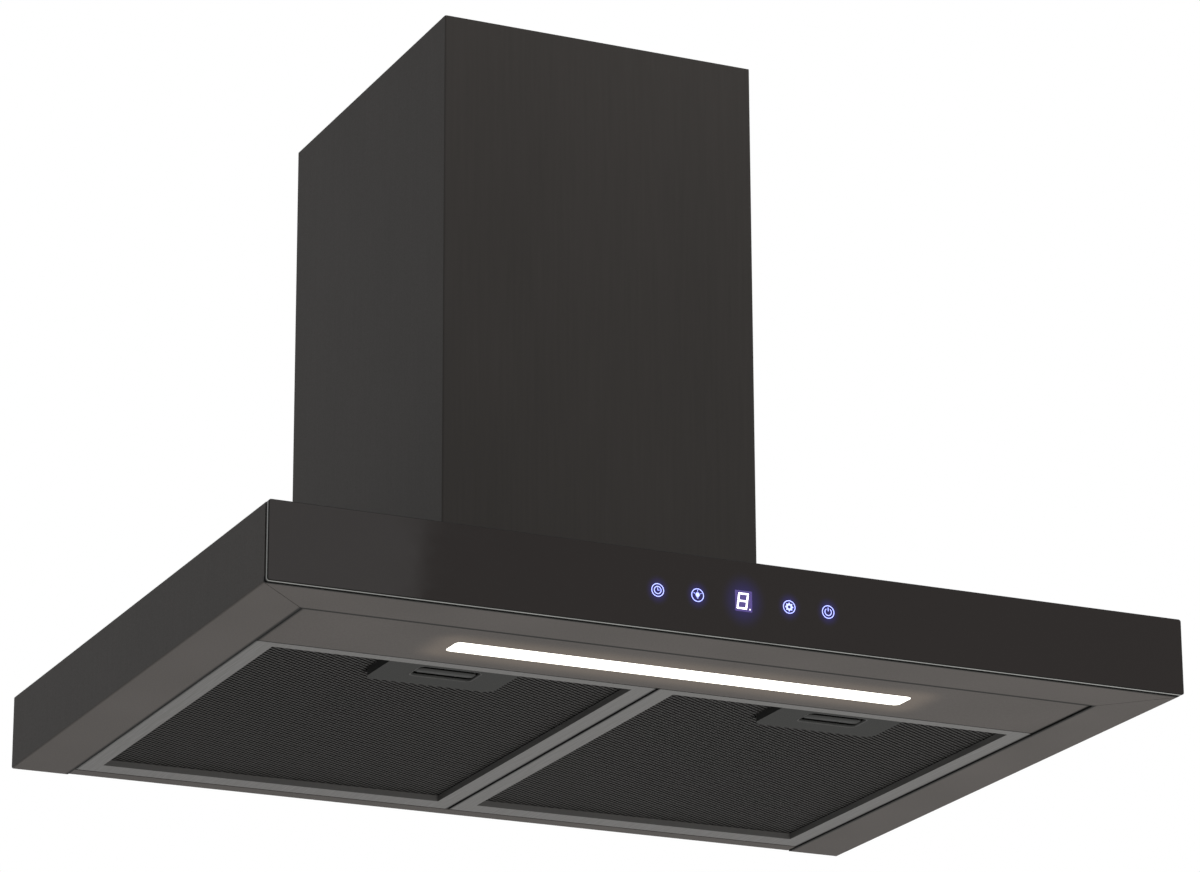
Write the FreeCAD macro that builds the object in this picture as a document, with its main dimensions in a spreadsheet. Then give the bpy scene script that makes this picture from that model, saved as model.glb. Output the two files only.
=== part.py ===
import FreeCAD, Part
import math
import os
import re
import Sketcher

# A wall-mounted chimney range hood: a flat canopy with two grease filters, a lamp strip and a
# glass control front, a blower in a box above it, and a two-part telescopic chimney.
# The origin is on the wall, at the middle of the canopy's lower rear edge.
# +X is to the right of someone facing the hood, +Y points into the wall and +Z is up.

SIZES = [
    # canopy: folded sheet steel, open below, with mitred flanges round the filters
    ("canopy_width", 600),
    ("canopy_depth", 460),
    ("canopy_height", 48),
    ("canopy_sheet", 1),
    ("canopy_fold", 1.2),
    ("side_flange", 38),
    ("front_flange", 40),
    ("mitre_gap", 0.4),
    ("rear_strip", 11.5),
    ("inner_step", 0.5),
    ("panel_gap", 0.7),
    # glass front and the foam tape that holds it
    ("glass_thickness", 4),
    ("glass_corner", 2.5),
    ("glass_arris", 0.5),
    ("tape_thickness", 1.5),
    ("tape_width", 5),
    ("tape_margin", 2),
    # touch controls behind the glass
    ("control_height", 23),
    ("touch_board_width", 180),
    ("touch_board_height", 30),
    ("board_thickness", 1.6),
    ("board_margin", 3),
    ("display_width", 14),
    ("display_height", 18),
    ("display_depth", 3),
    ("inner_key", 30),
    ("outer_key", 56),
    ("key_spring_radius", 3.6),
    ("key_spring_wire", 0.8),
    ("clip_width", 6),
    ("clip_depth", 5),
    ("glass_clearance", 0.3),
    # lamp panel with its light strip
    ("lamp_panel_depth", 73.1),
    ("lamp_sheet", 1),
    ("lamp_lip", 9),
    ("lamp_window_length", 304),
    ("lamp_window_width", 20.5),
    ("lamp_window_corner", 4),
    ("lamp_window_setback", 28.6),
    ("lens_clearance", 0.15),
    ("lens_flange", 2.5),
    ("lens_flange_depth", 1.5),
    ("lens_step", 0.1),
    ("holder_wall", 1.2),
    ("holder_height", 10.2),
    ("led_board_length", 300),
    ("led_board_width", 14),
    ("led_board_thickness", 1.2),
    ("led_length", 3.5),
    ("led_width", 2.8),
    ("led_height", 0.9),
    ("led_count", 24),
    ("panel_bracket_width", 45),
    ("panel_bracket_foot", 10),
    ("panel_bracket_inset", 2.2),
    ("stud_radius", 2),
    ("stud_height", 7.5),
    ("stud_spacing", 28),
    ("nut_height", 3.2),
    ("nut_across", 7),
    # electrics carried under the canopy's top plate
    ("driver_length", 90),
    ("driver_width", 42),
    ("driver_height", 22),
    ("driver_place", 140),
    ("driver_corner", 3),
    ("control_box_length", 150),
    ("control_box_width", 74),
    ("control_box_height", 28),
    ("control_box_wall", 2),
    ("control_box_place", 170),
    ("control_box_setback", 14),
    ("control_lid", 2),
    ("board_post", 5),
    ("transformer_size", 30),
    ("transformer_height", 14),
    ("relay_size", 16),
    ("relay_height", 12),
    ("terminal_length", 44),
    ("terminal_width", 14),
    ("terminal_height", 13),
    ("terminal_poles", 5),
    # grease filters
    ("filter_height", 8.5),
    ("filter_middle_gap", 2),
    ("filter_side_gap", 1),
    ("filter_rear_gap", 1.5),
    ("filter_side_strip", 13),
    ("filter_rear_strip", 16.5),
    ("filter_front_strip", 8),
    ("filter_wall", 1),
    ("filter_skin", 0.8),
    ("mesh_recess", 4),
    ("mesh_thickness", 0.7),
    ("mesh_gap", 0.3),
    ("tab_width", 30),
    ("tab_length", 5.5),
    ("tab_thickness", 1),
    ("tab_spacing", 160),
    ("ledge_clearance", 0.3),
    # filter handle, latch slider and its leaf spring
    ("handle_width", 84),
    ("handle_depth", 41.4),
    ("handle_corner", 7),
    ("handle_skin", 1.2),
    ("handle_wall", 1.6),
    ("handle_side", 3),
    ("finger_slot_width", 40.5),
    ("finger_slot_depth", 21.5),
    ("finger_slot_setback", 3.4),
    ("finger_slot_corner", 4),
    ("finger_slot_lip", 0.7),
    ("thumb_bar_width", 38),
    ("thumb_bar_depth", 11.4),
    ("thumb_bar_front_gap", 4.6),
    ("thumb_bar_step", 0.8),
    ("slider_width", 34),
    ("slider_thickness", 1.6),
    ("slider_low", 4.9),
    ("slider_reach", 3.5),
    ("nose_width", 14),
    ("nose_reach", 0.4),
    ("nose_clearance", 0.3),
    ("spring_strip", 0.5),
    ("spring_height", 2.4),
    ("spring_gap", 0.3),
    # lower chimney and the upper chimney that slides out of it
    ("chimney_width", 219),
    ("chimney_depth", 260),
    ("chimney_height", 411),
    ("chimney_sheet", 0.8),
    ("chimney_fold", 1.2),
    ("chimney_foot", 12),
    ("chimney_return", 15),
    ("slide_gap", 0.6),
    ("upper_clearance", 0.3),
    ("upper_height", 409),
    ("vent_slot_length", 60),
    ("vent_slot_height", 5),
    ("vent_slot_pitch", 10),
    ("vent_slot_count", 6),
    ("vent_slot_drop", 70),
    ("vent_slot_setback", 100),
    # wall bracket of the upper chimney
    ("bracket_sheet", 1.5),
    ("bracket_height", 30),
    ("bracket_drop", 4),
    ("bracket_width", 176),
    ("bracket_step", 12),
    ("bracket_ear", 30),
    ("bracket_hole_radius", 3),
    ("bracket_hole_spacing", 120),
    # blower box
    ("box_width", 172),
    ("box_depth", 236),
    ("box_height", 262),
    ("box_sheet", 1),
    ("box_foot", 8),
    ("box_lip", 7),
    ("inlet_width", 150),
    ("inlet_depth", 195),
    ("inlet_setback", 25),
    ("grille_border", 8),
    ("grille_thickness", 3),
    ("grille_slot", 12),
    ("grille_pitch", 14.8),
    ("grille_slots", 10),
    ("wall_hole_spacing", 120),
    ("keyhole_height", 202),
    ("keyhole_head_radius", 5.5),
    ("keyhole_neck_radius", 3),
    ("keyhole_rise", 12),
    ("wall_hole_height", 22),
    ("wall_hole_radius", 3.25),
    # volute, wheel and motor, on an axle that lies along X
    ("axle_setback", 125),
    ("axle_height", 112),
    ("volute_radius", 80),
    ("volute_growth", 10),
    ("volute_wall", 2),
    ("volute_width", 104),
    ("volute_inlet_radius", 58),
    ("inlet_lip_radius", 2.5),
    ("mouth_front", 20),
    ("mouth_tab", 28),
    ("mouth_tab_border", 6),
    ("mouth_tab_thickness", 3),
    ("wheel_radius", 70),
    ("wheel_width", 92),
    ("wheel_disc", 2),
    ("wheel_ring", 2),
    ("wheel_ring_depth", 9),
    ("hub_radius", 11),
    ("hub_left", 8),
    ("hub_right", 14),
    ("blade_count", 36),
    ("blade_root", 60),
    ("blade_bow", 8.5),
    ("blade_thickness", 1.2),
    ("shaft_radius", 4),
    ("shaft_end", 22),
    ("shaft_depth", 20),
    ("shaft_clearance", 0.05),
    ("wheel_nut_across", 13),
    ("wheel_nut_height", 11),
    ("motor_radius", 44),
    ("motor_front", 14),
    ("motor_length", 44),
    ("motor_boss_radius", 20),
    ("motor_boss", 3),
    ("motor_round", 5),
    ("arm_count", 3),
    ("arm_width", 14),
    ("arm_thickness", 2),
    ("arm_hub_radius", 26),
    ("mount_circle", 66),
    ("mount_radius", 6),
    ("mount_height", 9),
    ("capacitor_radius", 12),
    ("capacitor_height", 52),
    ("capacitor_foot", 8),
    ("capacitor_rise", 70),
    ("capacitor_inset", 22),
    # outlet spigot with its two non-return flaps
    ("spigot_radius", 75),
    ("spigot_wall", 1.5),
    ("spigot_height", 42),
    ("spigot_setback", 88),
    ("spigot_plate", 164),
    ("spigot_plate_thickness", 2),
    ("spigot_plate_corner", 6),
    ("spigot_screw_x", 74),
    ("spigot_screw_y", 60),
    ("flap_rise", 16),
    ("flap_gap", 1.5),
    ("flap_thickness", 1.6),
    ("flap_edge", 4.5),
    ("knuckle_radius", 3.5),
    ("knuckle_length", 28),
    ("knuckle_gap", 4),
    ("pin_radius", 2),
    ("pin_clearance", 0.08),
    ("stop_width", 16),
    ("stop_reach", 5),
    ("stop_height", 2.5),
    ("stop_clearance", 0.3),
    # cable gland on the box
    ("gland_x", 60),
    ("gland_inset", 28),
    ("gland_thread_radius", 8),
    ("gland_flange_radius", 12),
    ("gland_flange", 5),
    ("gland_cap_radius", 9.5),
    ("gland_height", 17),
    ("gland_bore_radius", 4.5),
    ("gland_tail", 8),
    ("gland_nut", 4),
    # screws
    ("screw_radius", 2),
    ("screw_head_radius", 3.6),
    ("screw_head_height", 2.2),
    ("screw_clearance", 0.1),
    ("screw_tip", 2),
    ("foot_screw_front", 200),
    ("foot_screw_rear", 60),
    ("ear_screw_setback", 28),
]

# Places that follow from the sizes. Heights are above the canopy's lower face.
PLACES = [
    ("half_width", "canopy_width / 2"),
    ("shell_front", "-(canopy_depth - glass_thickness - tape_thickness)"),
    ("glass_back", "-(canopy_depth - glass_thickness)"),
    ("inner_wall", "half_width - canopy_sheet"),
    ("top_under", "canopy_height - canopy_sheet"),
    ("opening_half", "half_width - side_flange"),
    ("opening_front", "shell_front + front_flange"),
    ("ledge_top", "inner_step + canopy_sheet"),
    ("lamp_front", "opening_front + panel_gap"),
    ("lamp_rear", "lamp_front + lamp_panel_depth"),
    ("filter_rear", "-(rear_strip + filter_rear_gap)"),
    ("filter_front", "lamp_rear + panel_gap"),
    ("filter_width", "opening_half - filter_side_gap - filter_middle_gap / 2"),
    ("filter_half", "filter_width / 2"),
    ("filter_centre", "filter_middle_gap / 2 + filter_half"),
    ("filter_low", "inner_step"),
    ("filter_top", "filter_low + filter_height"),
    ("mesh_low", "filter_low + mesh_recess"),
    ("mesh_top", "filter_top - filter_skin"),
    ("window_half", "filter_half - filter_side_strip"),
    ("window_rear", "filter_rear - filter_rear_strip"),
    ("window_front", "filter_front + filter_front_strip"),
    ("channel_half", "filter_half - filter_wall"),
    ("channel_rear", "filter_rear - filter_wall"),
    ("channel_front", "filter_front + filter_wall"),
    ("handle_rear", "window_front + handle_depth"),
    ("slot_front", "window_front + finger_slot_setback"),
    ("slot_rear", "slot_front + finger_slot_depth"),
    ("bar_front", "slot_front + thumb_bar_front_gap"),
    ("bar_rear", "bar_front + thumb_bar_depth"),
    ("slider_top", "slider_low + slider_thickness"),
    ("slider_rear", "bar_rear + slider_reach"),
    ("nose_low", "slider_low - nose_clearance"),
    ("nose_high", "slider_top + nose_clearance"),
    ("spring_seat", "handle_rear - handle_wall"),
    ("spring_radius", "spring_seat - slider_rear - spring_gap"),
    ("lamp_low", "inner_step"),
    ("lamp_top", "lamp_low + lamp_sheet"),
    ("lamp_half", "opening_half - panel_gap"),
    ("lamp_lip_top", "lamp_low + lamp_lip"),
    ("strip_front", "lamp_front + lamp_window_setback"),
    ("strip_rear", "strip_front + lamp_window_width"),
    ("strip_middle", "strip_front + lamp_window_width / 2"),
    ("lens_top", "lamp_top + lens_flange_depth"),
    ("holder_half", "lamp_window_width / 2 + lens_flange"),
    ("holder_top", "lens_top + holder_height"),
    ("led_board_top", "holder_top - holder_wall"),
    ("led_board_low", "led_board_top - led_board_thickness"),
    ("bracket_out", "lamp_half - lamp_sheet - panel_bracket_inset"),
    ("stud_x", "bracket_out - (panel_bracket_foot - canopy_sheet) / 2"),
    ("control_front", "shell_front + control_box_setback"),
    ("control_rear", "control_front + control_box_width"),
    ("control_low", "top_under - control_box_height"),
    ("touch_face", "glass_back + glass_clearance + display_depth"),
    ("touch_back", "touch_face + board_thickness"),
    ("touch_half", "touch_board_width / 2"),
    ("touch_low", "control_height - touch_board_height / 2 + 1"),
    ("touch_high", "touch_low + touch_board_height"),
    ("chimney_half", "chimney_width / 2"),
    ("chimney_top", "canopy_height + chimney_height"),
    ("foot_top", "canopy_height + chimney_sheet"),
    ("foot_screw_x", "chimney_half - chimney_sheet - chimney_foot / 2"),
    ("upper_half", "chimney_half - chimney_sheet - slide_gap"),
    ("upper_front", "-(chimney_depth - chimney_sheet - slide_gap)"),
    ("upper_back", "-(chimney_sheet + slide_gap)"),
    ("upper_low", "foot_top + upper_clearance"),
    ("upper_top", "upper_low + upper_height"),
    ("upper_inner", "upper_half - chimney_sheet"),
    ("bracket_top", "upper_top - bracket_drop"),
    ("bracket_low", "bracket_top - bracket_height"),
    ("box_half", "box_width / 2"),
    ("box_front", "-(box_depth - box_sheet)"),
    ("box_top", "canopy_height + box_height"),
    ("box_ceiling", "box_top - box_sheet"),
    ("box_screw_x", "box_half + box_foot / 2"),
    ("capacitor_setback", "box_depth - capacitor_inset"),
    ("gland_setback", "box_depth - gland_inset"),
    ("axle_y", "-axle_setback"),
    ("axle_z", "canopy_height + axle_height"),
    ("volute_half", "volute_width / 2"),
    ("wheel_half", "wheel_width / 2"),
    ("motor_back", "-(motor_front + motor_length)"),
    ("arm_back", "-(volute_half + mount_height + arm_thickness)"),
    ("arm_face", "-(volute_half + mount_height)"),
    ("mouth_low", "axle_y - volute_growth / 2 - mouth_front"),
    ("mouth_high", "axle_y + volute_growth / 2 + volute_radius + 2 * volute_growth"),
    ("spigot_y", "-spigot_setback"),
    ("spigot_top", "box_top + spigot_height"),
    ("spigot_bore", "spigot_radius - spigot_wall"),
    ("flap_z", "box_top + flap_rise"),
    ("flap_radius", "spigot_bore - flap_gap"),
    ("stop_top", "flap_z - flap_thickness / 2 - stop_clearance"),
    ("hole_radius", "screw_radius + screw_clearance"),
]

SIZE_NAMES = [name for name, size in SIZES]
PLACE_NAMES = [name for name, formula in PLACES]
TURNS = {
    "+x": FreeCAD.Rotation(FreeCAD.Vector(0, 0, 1), FreeCAD.Vector(1, 0, 0)),
    "-x": FreeCAD.Rotation(FreeCAD.Vector(0, 0, 1), FreeCAD.Vector(-1, 0, 0)),
    "+y": FreeCAD.Rotation(FreeCAD.Vector(0, 0, 1), FreeCAD.Vector(0, 1, 0)),
    "-y": FreeCAD.Rotation(FreeCAD.Vector(0, 0, 1), FreeCAD.Vector(0, -1, 0)),
    "+z": FreeCAD.Rotation(),
    "-z": FreeCAD.Rotation(FreeCAD.Vector(1, 0, 0), 180),
}
SIDES = (("left", -1), ("right", 1))

doc = FreeCAD.newDocument("range_hood")
sub_parts = []


# ---------------------------------------------------------------- sheets and formulas

def fill_sheet(name, rows, as_formula):
    """Write one row per size: its name, its number or formula, and the alias."""
    sheet = doc.addObject("Spreadsheet::Sheet", name)
    for row, (alias, content) in enumerate(rows, start=1):
        sheet.set(f"A{row}", alias)
        sheet.set(f"B{row}", "=" + with_sheet(content, inside=True) if as_formula else str(content))
        sheet.setAlias(f"B{row}", alias)
    doc.recompute()
    return sheet


def with_sheet(text, inside=False):
    """Put the name of its sheet before every alias in a formula."""
    def owner(match):
        word = match.group(0)
        if word in SIZE_NAMES:
            return "sizes." + word
        if word in PLACE_NAMES and not inside:
            return "places." + word
        return word
    return re.sub(r"[a-z][a-z_]*", owner, str(text))


def number(text):
    """The value that a formula has now."""
    return float(sizes.evalExpression(with_sheet(text)))


def bind(thing, prop, text):
    thing.setExpression(prop, with_sheet(text))


def keep(label, thing):
    """Name a finished sub-part and put it on the list to write."""
    thing.Label = label
    sub_parts.append(thing)
    return thing


# ---------------------------------------------------------------- primitives and booleans

def block(name, x, y, z):
    """A box between a low and a high place along each axis."""
    box = doc.addObject("Part::Box", name)
    for prop, axis, span in (("Length", "x", x), ("Width", "y", y), ("Height", "z", z)):
        bind(box, prop, f"({span[1]}) - ({span[0]})")
        bind(box, "Placement.Base." + axis, span[0])
    return box


def rod(name, radius, start, length, turn="+z"):
    """A cylinder from a start point, along one of the axes."""
    cylinder = doc.addObject("Part::Cylinder", name)
    cylinder.Placement = FreeCAD.Placement(FreeCAD.Vector(), TURNS[turn])
    bind(cylinder, "Radius", radius)
    bind(cylinder, "Height", length)
    for axis, place in zip("xyz", start):
        bind(cylinder, "Placement.Base." + axis, place)
    return cylinder


def hexagon(name, across, start, length, turn="+z"):
    """A six-sided prism, sized across its flats."""
    prism = doc.addObject("Part::Prism", name)
    prism.Polygon = 6
    prism.Placement = FreeCAD.Placement(FreeCAD.Vector(), TURNS[turn])
    bind(prism, "Circumradius", f"({across}) / 2 / cos(30 deg)")
    bind(prism, "Height", length)
    for axis, place in zip("xyz", start):
        bind(prism, "Placement.Base." + axis, place)
    return prism


def fuse(name, pieces):
    joined = doc.addObject("Part::MultiFuse", name)
    joined.Shapes = pieces
    joined.Refine = True
    return joined


def cut(name, base, tools):
    """The base less every tool."""
    result = doc.addObject("Part::Cut", name)
    result.Base = base
    result.Tool = tools[0] if len(tools) == 1 else fuse(name + "_tools", tools)
    result.Refine = True
    return result


def group(name, pieces):
    """Separate solids that share one node."""
    compound = doc.addObject("Part::Compound", name)
    compound.Links = pieces
    return compound


def screw(name, seat, reach, turn):
    """A pan-head screw: its head stands on the seat, its shank goes the way of turn."""
    back = {"+": "-", "-": "+"}[turn[0]] + turn[1]
    head = rod(name + "_head", "screw_head_radius", seat, "screw_head_height", back)
    shank = rod(name + "_shank", "screw_radius", seat, reach, turn)
    return fuse(name, [head, shank])


# ---------------------------------------------------------------- bodies and sketches

def new_body(name):
    return doc.addObject("PartDesign::Body", name)


def sketch(body, name, role, offset="0"):
    """A sketch on one of the body's own origin planes, moved along its normal."""
    plane = [each for each in body.Origin.OriginFeatures if each.Role == role][0]
    drawing = body.newObject("Sketcher::SketchObject", name)
    drawing.AttachmentSupport = [(plane, "")]
    drawing.MapMode = "FlatFace"
    bind(drawing, "AttachmentOffset.Base.z", offset)
    return drawing


def pin_down(drawing, kind, edge, point, text):
    """Hold one point of a sketch at a distance from the sketch's origin."""
    index = drawing.addConstraint(Sketcher.Constraint(kind, -1, 1, edge, point, number(text)))
    bind(drawing, f"Constraints[{index}]", text)


def outline(drawing, points):
    """A closed outline of straight lines, each corner held at its place."""
    first = drawing.GeometryCount
    spots = [FreeCAD.Vector(number(x), number(y), 0) for x, y in points]
    for index, spot in enumerate(spots):
        drawing.addGeometry(Part.LineSegment(spot, spots[(index + 1) % len(spots)]))
    for index, (x, y) in enumerate(points):
        edge = first + index
        following = first + (index + 1) % len(points)
        drawing.addConstraint(Sketcher.Constraint("Coincident", edge, 2, following, 1))
        pin_down(drawing, "DistanceX", edge, 1, x)
        pin_down(drawing, "DistanceY", edge, 1, y)


def rectangle(drawing, x, y):
    outline(drawing, [(x[0], y[0]), (x[1], y[0]), (x[1], y[1]), (x[0], y[1])])


def circle(drawing, x, y, radius):
    centre = FreeCAD.Vector(number(x), number(y), 0)
    edge = drawing.addGeometry(Part.Circle(centre, FreeCAD.Vector(0, 0, 1), number(radius)))
    pin_down(drawing, "DistanceX", edge, 3, x)
    pin_down(drawing, "DistanceY", edge, 3, y)
    hold_radius(drawing, edge, radius)


def arc(drawing, x, y, radius, start, end):
    """A circular arc held by its centre; its radius and ends are held by the caller."""
    centre = FreeCAD.Vector(number(x), number(y), 0)
    whole = Part.Circle(centre, FreeCAD.Vector(0, 0, 1), number(radius))
    edge = drawing.addGeometry(Part.ArcOfCircle(whole, math.radians(start), math.radians(end)))
    pin_down(drawing, "DistanceX", edge, 3, x)
    pin_down(drawing, "DistanceY", edge, 3, y)
    return edge


def hold_radius(drawing, edge, radius):
    index = drawing.addConstraint(Sketcher.Constraint("Radius", edge, number(radius)))
    bind(drawing, f"Constraints[{index}]", radius)


def pad(drawing, length, both_ways=False, backwards=False):
    body = drawing.getParentGeoFeatureGroup()
    feature = body.newObject("PartDesign::Pad", drawing.Name + "_pad")
    feature.Profile = drawing
    feature.Reversed = backwards
    bind(feature, "Length", length)
    if both_ways:
        feature.SideType = "Symmetric"
    drawing.Visibility = False
    return feature


def pocket(drawing, length, along=True, both_ways=False):
    """Cut the sketch's area away, along the sketch's normal or against it."""
    body = drawing.getParentGeoFeatureGroup()
    feature = body.newObject("PartDesign::Pocket", drawing.Name + "_pocket")
    feature.Profile = drawing
    feature.Reversed = along
    bind(feature, "Length", length)
    if both_ways:
        feature.SideType = "Symmetric"
    return feature


def revolve(drawing, axis):
    body = drawing.getParentGeoFeatureGroup()
    feature = body.newObject("PartDesign::Revolution", drawing.Name + "_turned")
    feature.Profile = drawing
    feature.ReferenceAxis = (drawing, [axis])
    feature.Angle = 360
    return feature


def edges_where(feature, test):
    """The names of a feature's edges whose middle point and direction pass a test."""
    doc.recompute()
    chosen = []
    for index, edge in enumerate(feature.Shape.Edges, start=1):
        middle = edge.valueAt((edge.FirstParameter + edge.LastParameter) / 2)
        way = edge.tangentAt((edge.FirstParameter + edge.LastParameter) / 2)
        if test(middle, way):
            chosen.append(f"Edge{index}")
    return chosen


def soften(feature, kind, size, test):
    """Fillet or chamfer the edges of a feature that pass a test."""
    body = feature.getParentGeoFeatureGroup()
    dressed = body.newObject("PartDesign::" + kind, feature.Name + "_" + kind.lower())
    dressed.Base = (feature, edges_where(feature, test))
    bind(dressed, "Radius" if kind == "Fillet" else "Size", size)
    return dressed


def near(value, text):
    return abs(value - number(text)) < 0.01


# ---------------------------------------------------------------- canopy

def canopy_shell():
    """Folded shell: top, sides, front and a mitred flange, open below and at the wall."""
    body = new_body("canopy_shell_body")
    plan = sketch(body, "shell_plan", "XY_Plane")
    rectangle(plan, ("-half_width", "half_width"), ("shell_front", "0"))
    solid = pad(plan, "canopy_height")
    folded = soften(solid, "Fillet", "canopy_fold", lambda middle, way: (
        abs(way.y) > 0.9 or (abs(way.x) > 0.9 and middle.y < 0 and middle.z > 0.01
                             and near(middle.y, "shell_front"))))

    room = sketch(body, "shell_room", "XY_Plane", "canopy_sheet")
    rectangle(room, ("-inner_wall", "inner_wall"), ("shell_front + canopy_sheet", "0"))
    pocket(room, "canopy_height - 2 * canopy_sheet")

    opening = sketch(body, "shell_opening", "XY_Plane")
    rectangle(opening, ("-opening_half", "opening_half"), ("opening_front", "0"))
    pocket(opening, "canopy_sheet")

    mitres = sketch(body, "shell_mitres", "XY_Plane")
    for side in ("-", ""):
        outline(mitres, [
            (f"{side}(inner_wall)", "shell_front + canopy_sheet"),
            (f"{side}(inner_wall)", "shell_front + canopy_sheet + mitre_gap * 1.5"),
            (f"{side}(opening_half)", "opening_front + mitre_gap * 0.5"),
            (f"{side}(opening_half - mitre_gap)", "opening_front"),
            (f"{side}(opening_half)", "opening_front - mitre_gap"),
        ])
    pocket(mitres, "canopy_sheet")

    inlet = sketch(body, "shell_inlet", "XY_Plane", "top_under")
    rectangle(inlet, ("-inlet_width / 2", "inlet_width / 2"),
              ("-inlet_setback - inlet_depth", "-inlet_setback"))
    for x in ("-foot_screw_x", "foot_screw_x", "-box_screw_x", "box_screw_x"):
        for y in ("-foot_screw_rear", "-foot_screw_front"):
            circle(inlet, x, y, "hole_radius")
    pocket(inlet, "canopy_sheet")

    window = sketch(body, "shell_touch_window", "XZ_Plane", "-shell_front - canopy_sheet * 2")
    rectangle(window, ("-touch_half - board_margin", "touch_half + board_margin"),
              ("touch_low - board_margin / 2", "touch_high + board_margin / 2"))
    pocket(window, "canopy_sheet * 3")
    keep("canopy_shell", body)


def rear_panel():
    """Rear wall of the canopy, folded forward below into the ledge that carries the filters."""
    body = new_body("rear_panel_body")
    wall = sketch(body, "rear_wall", "XZ_Plane")
    rectangle(wall, ("-inner_wall", "inner_wall"), ("canopy_sheet", "top_under"))
    pad(wall, "canopy_sheet")
    fold = sketch(body, "rear_fold", "YZ_Plane")
    outline(fold, [
        ("0", "inner_step"),
        ("0", "ledge_top + canopy_sheet"),
        ("-canopy_sheet", "ledge_top + canopy_sheet"),
        ("-canopy_sheet", "ledge_top"),
        ("-rear_strip", "ledge_top"),
        ("-rear_strip", "inner_step"),
    ])
    pad(fold, "2 * (opening_half - panel_gap)", both_ways=True)
    keep("rear_panel", body)


def front_glass():
    """Tinted toughened glass over the whole front, with small corners and ground edges."""
    body = new_body("front_glass_body")
    face = sketch(body, "glass_face", "XZ_Plane", "canopy_depth - glass_thickness")
    rectangle(face, ("-half_width", "half_width"), ("0", "canopy_height"))
    sheet = pad(face, "glass_thickness")
    rounded = soften(sheet, "Fillet", "glass_corner", lambda middle, way: abs(way.y) > 0.9)
    soften(rounded, "Chamfer", "glass_arris", lambda middle, way: (
        abs(way.y) < 0.1 and near(middle.y, "-canopy_depth")))
    keep("front_glass", body)


def glass_tape():
    """Four strips of foam tape between the glass and the shell."""
    y = ("glass_back", "shell_front")
    outer = "half_width - tape_margin"
    inner = "half_width - tape_margin - tape_width"
    low = ("tape_margin", "tape_margin + tape_width")
    high = ("canopy_height - tape_margin - tape_width", "canopy_height - tape_margin")
    upright = (low[1], high[0])
    keep("glass_tape", group("glass_tape_group", [
        block("tape_low", (f"-({outer})", outer), y, low),
        block("tape_high", (f"-({outer})", outer), y, high),
        block("tape_left", (f"-({outer})", f"-({inner})"), y, upright),
        block("tape_right", (inner, outer), y, upright),
    ]))


# ---------------------------------------------------------------- touch controls

def touch_board():
    """Circuit board close behind the glass, seen through the window in the shell's front."""
    keep("touch_board", block("touch_board_plate", ("-touch_half", "touch_half"),
                              ("touch_face", "touch_back"), ("touch_low", "touch_high")))


def display_module():
    body = new_body("display_module_body")
    face = sketch(body, "display_face", "XZ_Plane", "-touch_face")
    rectangle(face, ("-display_width / 2", "display_width / 2"),
              ("control_height - display_height / 2", "control_height + display_height / 2"))
    case = pad(face, "display_depth")
    soften(case, "Chamfer", "glass_arris", lambda middle, way: middle.y < number("touch_face") - 1)
    keep("display_module", body)


def touch_springs():
    """Four sensing springs, one behind each touch symbol, as short sleeves."""
    springs = []
    for index, x in enumerate(("-outer_key", "-inner_key", "inner_key", "outer_key")):
        start = (x, "touch_face", "control_height")
        sleeve = rod(f"touch_spring_{index}", "key_spring_radius", start, "display_depth", "-y")
        bore = rod(f"touch_spring_bore_{index}", "key_spring_radius - key_spring_wire", start,
                   "display_depth", "-y")
        springs.append(cut(f"touch_spring_cut_{index}", sleeve, [bore]))
    keep("touch_springs", group("touch_spring_group", springs))


def touch_board_clips():
    """Two moulded clips that hook the ends of the board to the shell's front."""
    clips = []
    for side, sign in (("left", "-"), ("right", "")):
        x = [f"{sign}(touch_half - clip_width / 2)", f"{sign}(touch_half + board_margin + clip_width)"]
        if sign:
            x.reverse()
        solid = block(f"clip_{side}", x,
                      ("shell_front + canopy_sheet", "shell_front + canopy_sheet + clip_depth"),
                      ("touch_low", "touch_high"))
        slot_x = ["-touch_half - glass_clearance", "0"] if sign else ["0", "touch_half + glass_clearance"]
        slot = block(f"clip_slot_{side}", slot_x, ("shell_front", "touch_back"),
                     ("touch_low - board_margin", "touch_high + board_margin"))
        clips.append(cut(f"clip_cut_{side}", solid, [slot]))
    keep("touch_board_clips", group("clip_group", clips))


# ---------------------------------------------------------------- lamp panel and light strip

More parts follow.
